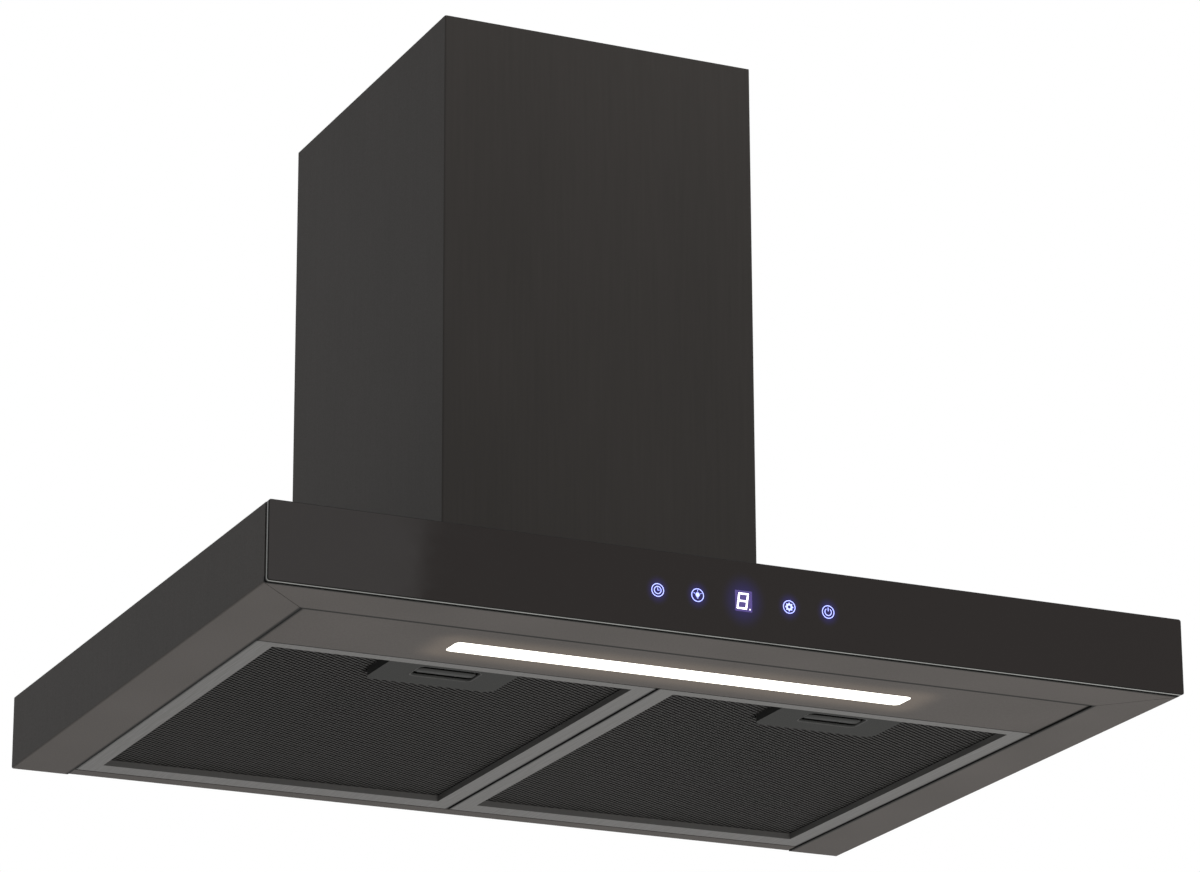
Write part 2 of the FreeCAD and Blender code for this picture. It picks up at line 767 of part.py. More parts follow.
def lamp_panel():
    """Sheet panel with folded-up lips, the lamp window, two latch keepers and four studs."""
    body = new_body("lamp_panel_body")
    plan = sketch(body, "lamp_plan", "XY_Plane", "lamp_low")
    rectangle(plan, ("-lamp_half", "lamp_half"), ("lamp_front", "lamp_rear"))
    tray = pad(plan, "lamp_lip")
    soften(tray, "Fillet", "lamp_sheet * 0.8", lambda middle, way: near(middle.z, "lamp_low"))

    room = sketch(body, "lamp_room", "XY_Plane", "lamp_top")
    rectangle(room, ("-lamp_half + lamp_sheet", "lamp_half - lamp_sheet"),
              ("lamp_front + lamp_sheet", "lamp_rear - lamp_sheet"))
    pocket(room, "lamp_lip")

    window = sketch(body, "lamp_window", "XY_Plane", "lamp_low")
    rectangle(window, ("-lamp_window_length / 2", "lamp_window_length / 2"),
              ("strip_front", "strip_rear"))
    opened = pocket(window, "lamp_sheet")
    soften(opened, "Fillet", "lamp_window_corner", lambda middle, way: (
        abs(way.z) > 0.9 and number("strip_front") - 0.1 < middle.y < number("strip_rear") + 0.1
        and abs(abs(middle.x) - number("lamp_window_length / 2")) < 0.1))

    keepers = sketch(body, "lamp_keepers", "XZ_Plane", "-lamp_rear")
    for centre in ("-filter_centre", "filter_centre"):
        rectangle(keepers, (f"{centre} - nose_width / 2 - 1.5", f"{centre} + nose_width / 2 + 1.5"),
                  ("nose_low - nose_clearance", "nose_high + nose_clearance"))
    pocket(keepers, "lamp_sheet * 1.5")

    studs = sketch(body, "lamp_studs", "XY_Plane", "lamp_top")
    for x in ("-stud_x", "stud_x"):
        for y in ("strip_middle - stud_spacing / 2", "strip_middle + stud_spacing / 2"):
            circle(studs, x, y, "stud_radius")
    pad(studs, "stud_height")
    keep("lamp_panel", body)


def lamp_lens():
    """Opal diffuser: its face fills the window and its flange rests on the panel inside."""
    body = new_body("lamp_lens_body")
    inside = "lamp_window_length / 2 - lens_clearance"
    face = sketch(body, "lens_face", "XY_Plane", "lamp_low + lens_step")
    rectangle(face, (f"-({inside})", inside),
              ("strip_front + lens_clearance", "strip_rear - lens_clearance"))
    plug = pad(face, "lamp_sheet - lens_step")
    soften(plug, "Fillet", "lamp_window_corner - lens_clearance",
           lambda middle, way: abs(way.z) > 0.9)
    flange = sketch(body, "lens_flange", "XY_Plane", "lamp_top")
    outside = "lamp_window_length / 2 + lens_flange"
    rectangle(flange, (f"-({outside})", outside),
              ("strip_front - lens_flange", "strip_rear + lens_flange"))
    pad(flange, "lens_flange_depth")
    keep("lamp_lens", body)


def led_holder():
    """Aluminium channel that presses the lens down and takes heat from the LED board."""
    body = new_body("led_holder_body")
    section = sketch(body, "holder_section", "YZ_Plane")
    left = "strip_middle - holder_half"
    right = "strip_middle + holder_half"
    outline(section, [
        (left, "lens_top"),
        (left, "holder_top"),
        (right, "holder_top"),
        (right, "lens_top"),
        (f"{right} - holder_wall", "lens_top"),
        (f"{right} - holder_wall", "holder_top - holder_wall"),
        (f"{left} + holder_wall", "holder_top - holder_wall"),
        (f"{left} + holder_wall", "lens_top"),
    ])
    pad(section, "lamp_window_length + 2 * lens_flange", both_ways=True)
    keep("led_holder", body)


def led_board():
    keep("led_board", block(
        "led_board_plate", ("-led_board_length / 2", "led_board_length / 2"),
        ("strip_middle - led_board_width / 2", "strip_middle + led_board_width / 2"),
        ("led_board_low", "led_board_top")))


def leds():
    """A row of LED packages under the board."""
    count = int(number("led_count"))
    packages = []
    for index in range(count):
        x = f"led_board_length * ({index} + 0.5 - led_count / 2) / led_count"
        packages.append(block(f"led_{index}", (f"{x} - led_length / 2", f"{x} + led_length / 2"),
                              ("strip_middle - led_width / 2", "strip_middle + led_width / 2"),
                              ("led_board_low - led_height", "led_board_low")))
    keep("leds", group("led_group", packages))


def lamp_brackets():
    """Two sheet brackets from the top plate down to the lamp panel's studs."""
    brackets = []
    for side, sign in SIDES:
        body = new_body(f"lamp_bracket_{side}")
        section = sketch(body, f"lamp_bracket_section_{side}", "XZ_Plane", "-strip_middle")
        outer = f"{sign} * bracket_out"
        inner = f"{sign} * (bracket_out - panel_bracket_foot)"
        web = f"{sign} * (bracket_out - panel_bracket_foot + canopy_sheet)"
        outline(section, [
            (outer, "lamp_top"),
            (inner, "lamp_top"),
            (inner, "top_under"),
            (outer, "top_under"),
            (outer, "top_under - canopy_sheet"),
            (web, "top_under - canopy_sheet"),
            (web, "lamp_top + canopy_sheet"),
            (outer, "lamp_top + canopy_sheet"),
        ])
        pad(section, "panel_bracket_width", both_ways=True)
        holes = sketch(body, f"lamp_bracket_holes_{side}", "XY_Plane", "lamp_top")
        for y in ("strip_middle - stud_spacing / 2", "strip_middle + stud_spacing / 2"):
            circle(holes, f"{sign} * stud_x", y, "stud_radius + screw_clearance")
        pocket(holes, "canopy_sheet * 2")
        brackets.append(body)
    keep("lamp_brackets", group("lamp_bracket_group", brackets))


def lamp_nuts():
    nuts = []
    for side, sign in SIDES:
        for end, way in (("front", "-"), ("rear", "+")):
            name = f"lamp_nut_{side}_{end}"
            start = (f"{sign} * stud_x", f"strip_middle {way} stud_spacing / 2",
                     "lamp_top + canopy_sheet")
            body = hexagon(name + "_hex", "nut_across", start, "nut_height")
            bore = rod(name + "_bore", "stud_radius", start, "nut_height")
            nuts.append(cut(name, body, [bore]))
    keep("lamp_nuts", group("lamp_nut_group", nuts))


# ---------------------------------------------------------------- electrics

def led_driver():
    """Sealed power supply of the light strip, under the top plate."""
    body = new_body("led_driver_body")
    plan = sketch(body, "driver_plan", "XY_Plane", "top_under - driver_height")
    rectangle(plan, ("driver_place - driver_length / 2", "driver_place + driver_length / 2"),
              ("strip_middle - driver_width / 2", "strip_middle + driver_width / 2"))
    case = pad(plan, "driver_height")
    soften(case, "Fillet", "driver_corner", lambda middle, way: (
        abs(way.z) > 0.9 or near(middle.z, "top_under - driver_height")))
    keep("led_driver", body)


def control_box():
    """Moulded tray under the top plate, open below, with four posts for the board."""
    body = new_body("control_box_body")
    plan = sketch(body, "control_plan", "XY_Plane", "control_low")
    left = "-control_box_place - control_box_length / 2"
    right = "-control_box_place + control_box_length / 2"
    rectangle(plan, (left, right), ("control_front", "control_rear"))
    case = pad(plan, "control_box_height")
    soften(case, "Fillet", "driver_corner", lambda middle, way: abs(way.z) > 0.9)
    room = sketch(body, "control_room", "XY_Plane", "control_low")
    rectangle(room, (f"{left} + control_box_wall", f"{right} - control_box_wall"),
              ("control_front + control_box_wall", "control_rear - control_box_wall"))
    pocket(room, "control_box_height - control_box_wall")
    posts = sketch(body, "control_posts", "XY_Plane", "top_under - control_box_wall")
    for x in (f"{left} + 8", f"{right} - 8"):
        for y in ("control_front + 8", "control_rear - 8"):
            circle(posts, x, y, "board_post / 2")
    pad(posts, "board_post", backwards=True)
    keep("control_box", body)


def control_lid():
    body = new_body("control_lid_body")
    plan = sketch(body, "control_lid_plan", "XY_Plane", "control_low - control_lid")
    rectangle(plan, ("-control_box_place - control_box_length / 2",
                     "-control_box_place + control_box_length / 2"),
              ("control_front", "control_rear"))
    lid = pad(plan, "control_lid")
    soften(lid, "Fillet", "driver_corner", lambda middle, way: abs(way.z) > 0.9)
    keep("control_lid", body)


def power_board():
    """Board that hangs from the posts, with its transformer and three relays."""
    face = "(top_under - control_box_wall - board_post)"
    low = f"{face} - board_thickness"
    pieces = [block("power_board_plate",
                    ("-control_box_place - control_box_length / 2 + control_box_wall + 1",
                     "-control_box_place + control_box_length / 2 - control_box_wall - 1"),
                    ("control_front + control_box_wall + 1", "control_rear - control_box_wall - 1"),
                    (low, face))]
    centre = "(control_front + control_box_width / 2)"
    pieces.append(block("transformer",
                        ("-control_box_place - 60", "-control_box_place - 60 + transformer_size"),
                        (f"{centre} - transformer_size / 2", f"{centre} + transformer_size / 2"),
                        (f"{low} - transformer_height", low)))
    for index in range(3):
        x = f"-control_box_place - 20 + {index} * (relay_size + 4)"
        pieces.append(block(f"relay_{index}", (x, f"{x} + relay_size"),
                            (f"{centre} + 4", f"{centre} + 4 + relay_size"),
                            (f"{low} - relay_height", low)))
    keep("power_board", fuse("power_board_joined", pieces))


def terminal_block():
    """Screw terminals for the mains, on the front half of the board."""
    low = "top_under - control_box_wall - board_post - board_thickness"
    x = "(-control_box_place + 5)"
    y = "(control_front + control_box_wall + 6)"
    solid = block("terminal_solid", (x, f"{x} + terminal_length"), (y, f"{y} + terminal_width"),
                  (f"{low} - terminal_height", low))
    wells = []
    for index in range(int(number("terminal_poles"))):
        centre = f"{x} + terminal_length * ({index} + 0.5) / terminal_poles"
        wells.append(rod(f"terminal_well_{index}", "terminal_length / terminal_poles * 0.3",
                         (centre, f"{y} + terminal_width / 2", f"{low} - terminal_height"),
                         "terminal_height / 2"))
    keep("terminal_block", cut("terminal_cut", solid, wells))


# ---------------------------------------------------------------- grease filters

def filter_frame(side, sign):
    """Folded aluminium frame: a channel for the mesh, an upstand round the window, two tabs."""
    body = new_body(f"filter_frame_{side}_body")
    plan = sketch(body, f"filter_plan_{side}", "XY_Plane", "filter_low")
    rectangle(plan, ("-filter_half", "filter_half"), ("filter_front", "filter_rear"))
    pad(plan, "filter_height")

    window = sketch(body, f"filter_window_{side}", "XY_Plane", "filter_low")
    rectangle(window, ("-window_half", "window_half"), ("window_front", "window_rear"))
    pocket(window, "filter_height")

    hollow = sketch(body, f"filter_hollow_{side}", "XY_Plane", "filter_low + filter_skin")
    rectangle(hollow, ("-channel_half", "channel_half"), ("channel_front", "channel_rear"))
    rectangle(hollow, ("-window_half - filter_skin", "window_half + filter_skin"),
              ("window_front - filter_skin", "window_rear + filter_skin"))
    pocket(hollow, "mesh_recess - filter_skin")

    channel = sketch(body, f"filter_channel_{side}", "XY_Plane", "mesh_low")
    rectangle(channel, ("-channel_half", "channel_half"), ("channel_front", "channel_rear"))
    pocket(channel, "mesh_top - mesh_low")

    nose = sketch(body, f"filter_nose_slot_{side}", "XZ_Plane", "-window_front - 1")
    rectangle(nose, ("-nose_width / 2 - nose_clearance", "nose_width / 2 + nose_clearance"),
              ("nose_low", "nose_high"))
    pocket(nose, "filter_front_strip + 2")

    tabs = sketch(body, f"filter_tabs_{side}", "XY_Plane", "ledge_top + ledge_clearance")
    for centre in ("-tab_spacing / 2", "tab_spacing / 2"):
        rectangle(tabs, (f"{centre} - tab_width / 2", f"{centre} + tab_width / 2"),
                  ("filter_rear - filter_wall / 2", "filter_rear + tab_length"))
    pad(tabs, "tab_thickness")
    bind(body, "Placement.Base.x", f"{sign} * filter_centre")
    keep(f"filter_frame_{side}", body)


def filter_layer(label, side, sign, low, high):
    """One sheet of the mesh pack, notched round the handle."""
    body = new_body(f"{label}_{side}_body")
    plan = sketch(body, f"{label}_plan_{side}", "XY_Plane", low)
    half = "channel_half - mesh_gap"
    front = "channel_front + mesh_gap"
    rear = "channel_rear - mesh_gap"
    notch = "handle_width / 2 + mesh_gap"
    outline(plan, [
        (f"-({half})", front),
        (f"-({notch})", front),
        (f"-({notch})", "handle_rear + mesh_gap"),
        (notch, "handle_rear + mesh_gap"),
        (notch, front),
        (half, front),
        (half, rear),
        (f"-({half})", rear),
    ])
    pad(plan, f"({high}) - ({low})")
    bind(body, "Placement.Base.x", f"{sign} * filter_centre")
    keep(f"{label}_{side}", body)


def filter_handle(side, sign):
    """Moulded latch housing with the finger slot, in the front middle of the filter."""
    body = new_body(f"filter_handle_{side}_body")
    plan = sketch(body, f"handle_plan_{side}", "XY_Plane", "filter_low")
    rectangle(plan, ("-handle_width / 2", "handle_width / 2"), ("window_front", "handle_rear"))
    solid = pad(plan, "mesh_top - filter_low")
    soften(solid, "Fillet", "handle_corner", lambda middle, way: (
        abs(way.z) > 0.9 and near(middle.y, "handle_rear")))

    room = sketch(body, f"handle_room_{side}", "XY_Plane", "filter_low + handle_skin")
    rectangle(room, ("-handle_width / 2 + handle_side", "handle_width / 2 - handle_side"),
              ("window_front", "handle_rear - handle_wall"))
    pocket(room, "mesh_top - filter_low - 2 * handle_skin")

    slot = sketch(body, f"finger_slot_{side}", "XY_Plane", "filter_low")
    rectangle(slot, ("-finger_slot_width / 2", "finger_slot_width / 2"), ("slot_front", "slot_rear"))
    opened = pocket(slot, "handle_skin")
    rounded = soften(opened, "Fillet", "finger_slot_corner", lambda middle, way: (
        abs(way.z) > 0.9 and abs(abs(middle.x) - number("finger_slot_width / 2")) < 0.1))
    soften(rounded, "Chamfer", "finger_slot_lip", lambda middle, way: (
        near(middle.z, "filter_low") and abs(middle.x) < number("finger_slot_width / 2") + 0.1
        and number("slot_front") + 1 < middle.y < number("slot_rear") + 0.1))
    bind(body, "Placement.Base.x", f"{sign} * filter_centre")
    keep(f"filter_handle_{side}", body)


def filter_latch(side, sign):
    """Slider with a thumb bar in the finger slot and a nose that goes through the frame."""
    body = new_body(f"filter_latch_{side}_body")
    plan = sketch(body, f"latch_plan_{side}", "XY_Plane", "slider_low")
    shoulder = "window_front + nose_clearance"
    outline(plan, [
        ("-nose_width / 2", "filter_front - nose_reach"),
        ("nose_width / 2", "filter_front - nose_reach"),
        ("nose_width / 2", shoulder),
        ("slider_width / 2", shoulder),
        ("slider_width / 2", "slider_rear"),
        ("-slider_width / 2", "slider_rear"),
        ("-slider_width / 2", shoulder),
        ("-nose_width / 2", shoulder),
    ])
    plate = pad(plan, "slider_thickness")
    soften(plate, "Chamfer", "slider_thickness * 0.6", lambda middle, way: (
        near(middle.y, "filter_front - nose_reach") and near(middle.z, "slider_top")))
    bar = sketch(body, f"latch_bar_{side}", "XY_Plane", "filter_low + thumb_bar_step")
    rectangle(bar, ("-thumb_bar_width / 2", "thumb_bar_width / 2"), ("bar_front", "bar_rear"))
    raised = pad(bar, "slider_top - filter_low - thumb_bar_step")
    soften(raised, "Fillet", "finger_slot_corner * 0.75", lambda middle, way: (
        abs(way.z) > 0.9 and abs(abs(middle.x) - number("thumb_bar_width / 2")) < 0.1))
    bind(body, "Placement.Base.x", f"{sign} * filter_centre")
    keep(f"filter_latch_{side}", body)


def latch_spring(side, sign):
    """Bowed leaf spring between the slider and the housing's rear wall."""
    low = "slider_low + slider_thickness / 2 - spring_height / 2"
    start = ("0", "spring_seat", low)
    outer = rod(f"spring_outer_{side}", "spring_radius", start, "spring_height")
    inner = rod(f"spring_inner_{side}", "spring_radius - spring_strip", start, "spring_height")
    behind = block(f"spring_behind_{side}", ("-spring_radius - 1", "spring_radius + 1"),
                   ("spring_seat", "spring_seat + spring_radius + 1"),
                   (f"{low} - 1", f"{low} + spring_height + 1"))
    bow = cut(f"latch_spring_{side}_cut", outer, [inner, behind])
    bind(bow, "Placement.Base.x", f"{sign} * filter_centre")
    keep(f"latch_spring_{side}", bow)


def grease_filters():
    for side, sign in SIDES:
        filter_frame(side, sign)
        filter_layer("filter_face_mesh", side, sign, "mesh_low", "mesh_low + mesh_thickness")
        filter_layer("filter_core", side, sign, "mesh_low + mesh_thickness",
                     "mesh_top - mesh_thickness")
        filter_layer("filter_back_mesh", side, sign, "mesh_top - mesh_thickness", "mesh_top")
        filter_handle(side, sign)
        filter_latch(side, sign)
        latch_spring(side, sign)


# ---------------------------------------------------------------- chimney

def chimney_section(drawing, half, front, back, fold):
    """A sheet folded to a front, two sides and two short returns at the wall."""
    inner = f"({half} - chimney_sheet)"
    outline(drawing, [
        (f"-({half})", back),
        (f"-({half})", front),
        (half, front),
        (half, back),
        (f"{half} - {fold}", back),
        (f"{half} - {fold}", f"{back} - chimney_sheet"),
        (inner, f"{back} - chimney_sheet"),
        (inner, f"{front} + chimney_sheet"),
        (f"-{inner}", f"{front} + chimney_sheet"),
        (f"-{inner}", f"{back} - chimney_sheet"),
        (f"-({half} - {fold})", f"{back} - chimney_sheet"),
        (f"-({half} - {fold})", back),
    ])


def lower_chimney():
    """Fixed chimney: folded sheet with an inward foot that is screwed to the canopy."""
    body = new_body("lower_chimney_body")
    section = sketch(body, "chimney_section", "XY_Plane", "canopy_height")
    chimney_section(section, "chimney_half", "-chimney_depth", "0", "chimney_return")
    walls = pad(section, "chimney_height")
    soften(walls, "Fillet", "chimney_fold", lambda middle, way: (
        abs(way.z) > 0.9 and near(middle.y, "-chimney_depth")))
    foot = sketch(body, "chimney_foot_plan", "XY_Plane", "canopy_height")
    edge = "(chimney_half - chimney_sheet / 2)"
    inner = "(chimney_half - chimney_sheet - chimney_foot)"
    front = "(-chimney_depth + chimney_sheet / 2)"
    foot_front = "(-chimney_depth + chimney_sheet + chimney_foot)"
    outline(foot, [
        (f"-{edge}", front),
        (edge, front),
        (edge, "-chimney_return"),
        (inner, "-chimney_return"),
        (inner, foot_front),
        (f"-{inner}", foot_front),
        (f"-{inner}", "-chimney_return"),
        (f"-{edge}", "-chimney_return"),
    ])
    pad(foot, "chimney_sheet")
    holes = sketch(body, "chimney_foot_holes", "XY_Plane", "canopy_height")
    for x in ("-foot_screw_x", "foot_screw_x"):
        for y in ("-foot_screw_rear", "-foot_screw_front"):
            circle(holes, x, y, "hole_radius")
    pocket(holes, "chimney_sheet")
    keep("lower_chimney", body)


def upper_chimney():
    """Sliding chimney inside the lower one, with vent slots near the top of each side."""
    body = new_body("upper_chimney_body")
    section = sketch(body, "upper_section", "XY_Plane", "upper_low")
    chimney_section(section, "upper_half", "upper_front", "upper_back", "chimney_return")
    walls = pad(section, "upper_height")
    soften(walls, "Fillet", "chimney_fold", lambda middle, way: (
        abs(way.z) > 0.9 and near(middle.y, "upper_front")))
    doc.recompute()
    slot = sketch(body, "vent_slot", "YZ_Plane")
    rectangle(slot, ("-vent_slot_setback - vent_slot_length", "-vent_slot_setback"),
              ("upper_top - vent_slot_drop", "upper_top - vent_slot_drop + vent_slot_height"))
    first = pocket(slot, "chimney_width", both_ways=True)
    rows = body.newObject("PartDesign::LinearPattern", "vent_slot_rows")
    rows.Originals = [first]
    rows.Direction = (slot, ["V_Axis"])
    rows.Reversed = False
    bind(rows, "Length", "vent_slot_pitch * (vent_slot_count - 1)")
    bind(rows, "Occurrences", "vent_slot_count")
    body.Tip = rows
    holes = sketch(body, "ear_screw_holes", "YZ_Plane")
    circle(holes, "-ear_screw_setback", "bracket_low + bracket_height / 2", "hole_radius")
    pocket(holes, "chimney_width", both_ways=True)
    keep("upper_chimney", body)


def chimney_bracket():
    """Hat-shaped wall bracket whose two ears carry the upper chimney."""
    body = new_body("chimney_bracket_body")
    section = sketch(body, "bracket_section", "XY_Plane", "bracket_low")
    half = "(bracket_width / 2)"
    inner = "(bracket_width / 2 - bracket_sheet)"
    ear = "upper_inner"
    ear_in = "(upper_inner - bracket_sheet)"
    right = [
        (half, "0"),
        (half, "-bracket_step"),
        (ear, "-bracket_step"),
        (ear, "-bracket_step - bracket_ear"),
        (ear_in, "-bracket_step - bracket_ear"),
        (ear_in, "-bracket_step - bracket_sheet"),
        (inner, "-bracket_step - bracket_sheet"),
        (inner, "-bracket_sheet"),
    ]
    left = [(f"-({x})", y) for x, y in reversed(right)]
    outline(section, right + left)
    pad(section, "bracket_height")
    middle = "bracket_low + bracket_height / 2"
    wall_holes = sketch(body, "bracket_wall_holes", "XZ_Plane")
    for x in ("-bracket_hole_spacing / 2", "bracket_hole_spacing / 2"):
        circle(wall_holes, x, middle, "bracket_hole_radius")
    pocket(wall_holes, "bracket_sheet")
    ear_holes = sketch(body, "bracket_ear_holes", "YZ_Plane")
    circle(ear_holes, "-ear_screw_setback", middle, "hole_radius")
    pocket(ear_holes, "chimney_width", both_ways=True)
    keep("chimney_bracket", body)


# ---------------------------------------------------------------- blower box

def blower_box():
    """Wrapper of the blower's box: back and sides, with feet and the holes that hang it."""
    body = new_body("blower_box_body")
    section = sketch(body, "box_section", "XY_Plane", "canopy_height")
    inner = "(box_half - box_sheet)"
    outline(section, [
        ("-box_half", "0"),
        ("-box_half", "box_front"),
        (f"-{inner}", "box_front"),
        (f"-{inner}", "-box_sheet"),
        (inner, "-box_sheet"),
        (inner, "box_front"),
        ("box_half", "box_front"),
        ("box_half", "0"),
    ])
    pad(section, "box_height - box_sheet")
    feet = sketch(body, "box_feet", "XY_Plane", "canopy_height")
    for side in ("-", ""):
        rectangle(feet, (f"{side}{inner}", f"{side}(box_half + box_foot)"), ("box_front", "-box_sheet"))
    pad(feet, "box_sheet")

    foot_holes = sketch(body, "box_foot_holes", "XY_Plane", "canopy_height")
    for x in ("-box_screw_x", "box_screw_x"):
        for y in ("-foot_screw_rear", "-foot_screw_front"):
            circle(foot_holes, x, y, "hole_radius")
    pocket(foot_holes, "box_sheet")
    heads, slots, necks = [sketch(body, f"keyhole_{part}", "XZ_Plane")
                           for part in ("heads", "slots", "necks")]
    head_z = "canopy_height + keyhole_height"
    neck_z = f"{head_z} + keyhole_rise"
    for side in ("-", ""):
        x = f"{side}wall_hole_spacing / 2"
        circle(heads, x, head_z, "keyhole_head_radius")
        circle(heads, x, "canopy_height + wall_hole_height", "wall_hole_radius")
        rectangle(slots, (f"{x} - keyhole_neck_radius", f"{x} + keyhole_neck_radius"),
                  (head_z, neck_z))
        circle(necks, x, neck_z, "keyhole_neck_radius")
    for drawing in (heads, slots, necks):
        pocket(drawing, "box_sheet")
    keep("blower_box", body)


def box_front():
    """Front of the blower's box: its side lips lap the wrapper, its foot is on the canopy."""
    body = new_body("box_front_body")
    section = sketch(body, "front_section", "XY_Plane", "canopy_height + box_sheet")
    outer = "(box_half + box_sheet)"
    lip = "-box_depth + box_lip"
    outline(section, [
        (f"-{outer}", "-box_depth"),
        (outer, "-box_depth"),
        (outer, lip),
        ("box_half", lip),
        ("box_half", "box_front"),
        ("-box_half", "box_front"),
        ("-box_half", lip),
        (f"-{outer}", lip),
    ])
    pad(section, "box_height - 2 * box_sheet")
    foot = sketch(body, "front_foot", "XY_Plane", "canopy_height")
    rectangle(foot, ("-box_half - box_foot", "box_half + box_foot"),
              ("-box_depth - box_foot", "box_front"))
    pad(foot, "box_sheet")
    keep("box_front", body)


def box_cover():
    """Top of the blower's box, with the outlet, the cable's hole and two lips over the sides."""
    body = new_body("box_cover_body")
    plan = sketch(body, "cover_plan", "XY_Plane", "box_ceiling")
    rectangle(plan, ("-box_half - box_sheet", "box_half + box_sheet"), ("-box_depth", "0"))
    pad(plan, "box_sheet")
    lips = sketch(body, "cover_lips", "XY_Plane", "box_ceiling")
    for side in ("-", ""):
        rectangle(lips, (f"{side}box_half", f"{side}(box_half + box_sheet)"),
                  ("-box_depth + 2 * box_lip", "-box_lip"))
    pad(lips, "box_lip", backwards=True)
    holes = sketch(body, "cover_holes", "XY_Plane", "box_ceiling")
    circle(holes, "0", "spigot_y", "spigot_bore")
    circle(holes, "-gland_x", "-gland_setback", "gland_thread_radius + screw_clearance")
    for x in ("-spigot_screw_x", "spigot_screw_x"):
        for way in ("-", "+"):
            circle(holes, x, f"spigot_y {way} spigot_screw_y", "hole_radius")
    pocket(holes, "box_sheet")
    keep("box_cover", body)


def inlet_grille():
    """Moulded finger guard under the blower's inlet."""
    body = new_body("inlet_grille_body")
    plan = sketch(body, "grille_plan", "XY_Plane", "top_under - grille_thickness")
    low_y = "-inlet_setback - inlet_depth"
    rectangle(plan, ("-inlet_width / 2 - grille_border", "inlet_width / 2 + grille_border"),
              (f"{low_y} - grille_border", "-inlet_setback + grille_border"))
    pad(plan, "grille_thickness")
    first_x = "-grille_pitch * (grille_slots - 1) / 2"
    slot = sketch(body, "grille_slot_plan", "XY_Plane", "top_under - grille_thickness")
    rectangle(slot, (f"{first_x} - grille_slot / 2", f"{first_x} + grille_slot / 2"),
              (f"{low_y} + 2", "-inlet_setback - 2"))
    first = pocket(slot, "grille_thickness")
    row = body.newObject("PartDesign::LinearPattern", "grille_slot_row")
    row.Originals = [first]
    row.Direction = (slot, ["H_Axis"])
    bind(row, "Length", "grille_pitch * (grille_slots - 1)")
    bind(row, "Occurrences", "grille_slots")
    body.Tip = row
    keep("inlet_grille", body)


# ---------------------------------------------------------------- volute

def volute_outline(drawing, wall):
    """The four-centre spiral: quarter arcs whose radii grow by one step at each quarter turn.

    The centres are corners of a small square about the axle, as wide as the growth, so the
    arcs meet in common tangents. The last arc runs straight up into the mouth.
    """
    step = "volute_growth / 2"
    near_y, far_y = f"axle_y - {step}", f"axle_y + {step}"
    low_z, high_z = f"axle_z - {step}", f"axle_z + {step}"
    radius = f"(volute_radius + {wall})"
    first = arc(drawing, near_y, low_z, radius, 95, 180)
    hold_radius(drawing, first, radius)
    second = arc(drawing, far_y, low_z, f"{radius} + volute_growth", 180, 270)
    third = arc(drawing, far_y, high_z, f"{radius} + 2 * volute_growth", 270, 360)
    start = f"{near_y} - 1.2 * {wall}"
    rear = f"mouth_high + {wall}"
    front = f"mouth_low - 1.1 * {wall}"
    corners = [
        FreeCAD.Vector(number(rear), number(high_z), 0),
        FreeCAD.Vector(number(rear), number("box_ceiling"), 0),
        FreeCAD.Vector(number(front), number("box_ceiling"), 0),
        FreeCAD.Vector(number(start), number(f"{low_z} + {radius}"), 0),
    ]
    lines = [drawing.addGeometry(Part.LineSegment(corners[i], corners[i + 1])) for i in range(3)]
    chain = [(second, 1, first, 2), (third, 1, second, 2), (third, 2, lines[0], 1),
             (lines[0], 2, lines[1], 1), (lines[1], 2, lines[2], 1), (lines[2], 2, first, 1)]
    for edge, point, other, other_point in chain:
        drawing.addConstraint(Sketcher.Constraint("Coincident", edge, point, other, other_point))
    drawing.addConstraint(Sketcher.Constraint("Horizontal", first, 3, first, 2))
    drawing.addConstraint(Sketcher.Constraint("Vertical", second, 3, second, 2))
    drawing.addConstraint(Sketcher.Constraint("Horizontal", third, 3, third, 2))
    drawing.addConstraint(Sketcher.Constraint("Vertical", lines[0]))
    drawing.addConstraint(Sketcher.Constraint("Horizontal", lines[1]))
    pin_down(drawing, "DistanceY", lines[1], 1, "box_ceiling")
    pin_down(drawing, "DistanceX", lines[1], 2, front)
    pin_down(drawing, "DistanceX", first, 1, start)


def volute_half(side, sign):
    """One half of the blower's volute: spiral wall, side wall with its inlet, and mouth tab."""
    body = new_body(f"volute_{side}_body")
    out = sign > 0
    shape = sketch(body, f"volute_outer_{side}", "YZ_Plane")
    volute_outline(shape, "volute_wall")
    pad(shape, "volute_half", backwards=not out)
    room = sketch(body, f"volute_inner_{side}", "YZ_Plane")
    volute_outline(room, "0")
    pocket(room, "volute_half - volute_wall", along=out)
    inlet = sketch(body, f"volute_inlet_{side}", "YZ_Plane")
    circle(inlet, "axle_y", "axle_z", "volute_inlet_radius")
    holes = int(number("arm_count")) if not out else 0
    for index in range(holes):
        angle = f"{360 * index / holes + 90} deg"
        circle(inlet, f"axle_y + mount_circle * cos({angle})",
               f"axle_z + mount_circle * sin({angle})", "hole_radius")
    opened = pocket(inlet, "volute_half + 1", along=out)
    lip_x = f"{sign} * volute_half"
    soften(opened, "Fillet", "volute_wall * 0.8", lambda middle, way: (
        near(middle.x, lip_x)
        and abs(math.hypot(middle.y - number("axle_y"), middle.z - number("axle_z"))
                - number("volute_inlet_radius")) < 0.1))
    tab = sketch(body, f"volute_tab_{side}", "XY_Plane", "box_ceiling")
    x = [f"{sign} * (volute_half - volute_wall / 2)", f"{sign} * (volute_half + mouth_tab)"]
    rectangle(tab, x, ("mouth_low - mouth_tab_border", "mouth_high + mouth_tab_border / 2"))
    for way in ("-", "+"):
        circle(tab, f"{sign} * spigot_screw_x", f"spigot_y {way} spigot_screw_y", "hole_radius")
    pad(tab, "mouth_tab_thickness", backwards=True)
    keep(f"volute_{side}", body)


# ---------------------------------------------------------------- wheel and motor

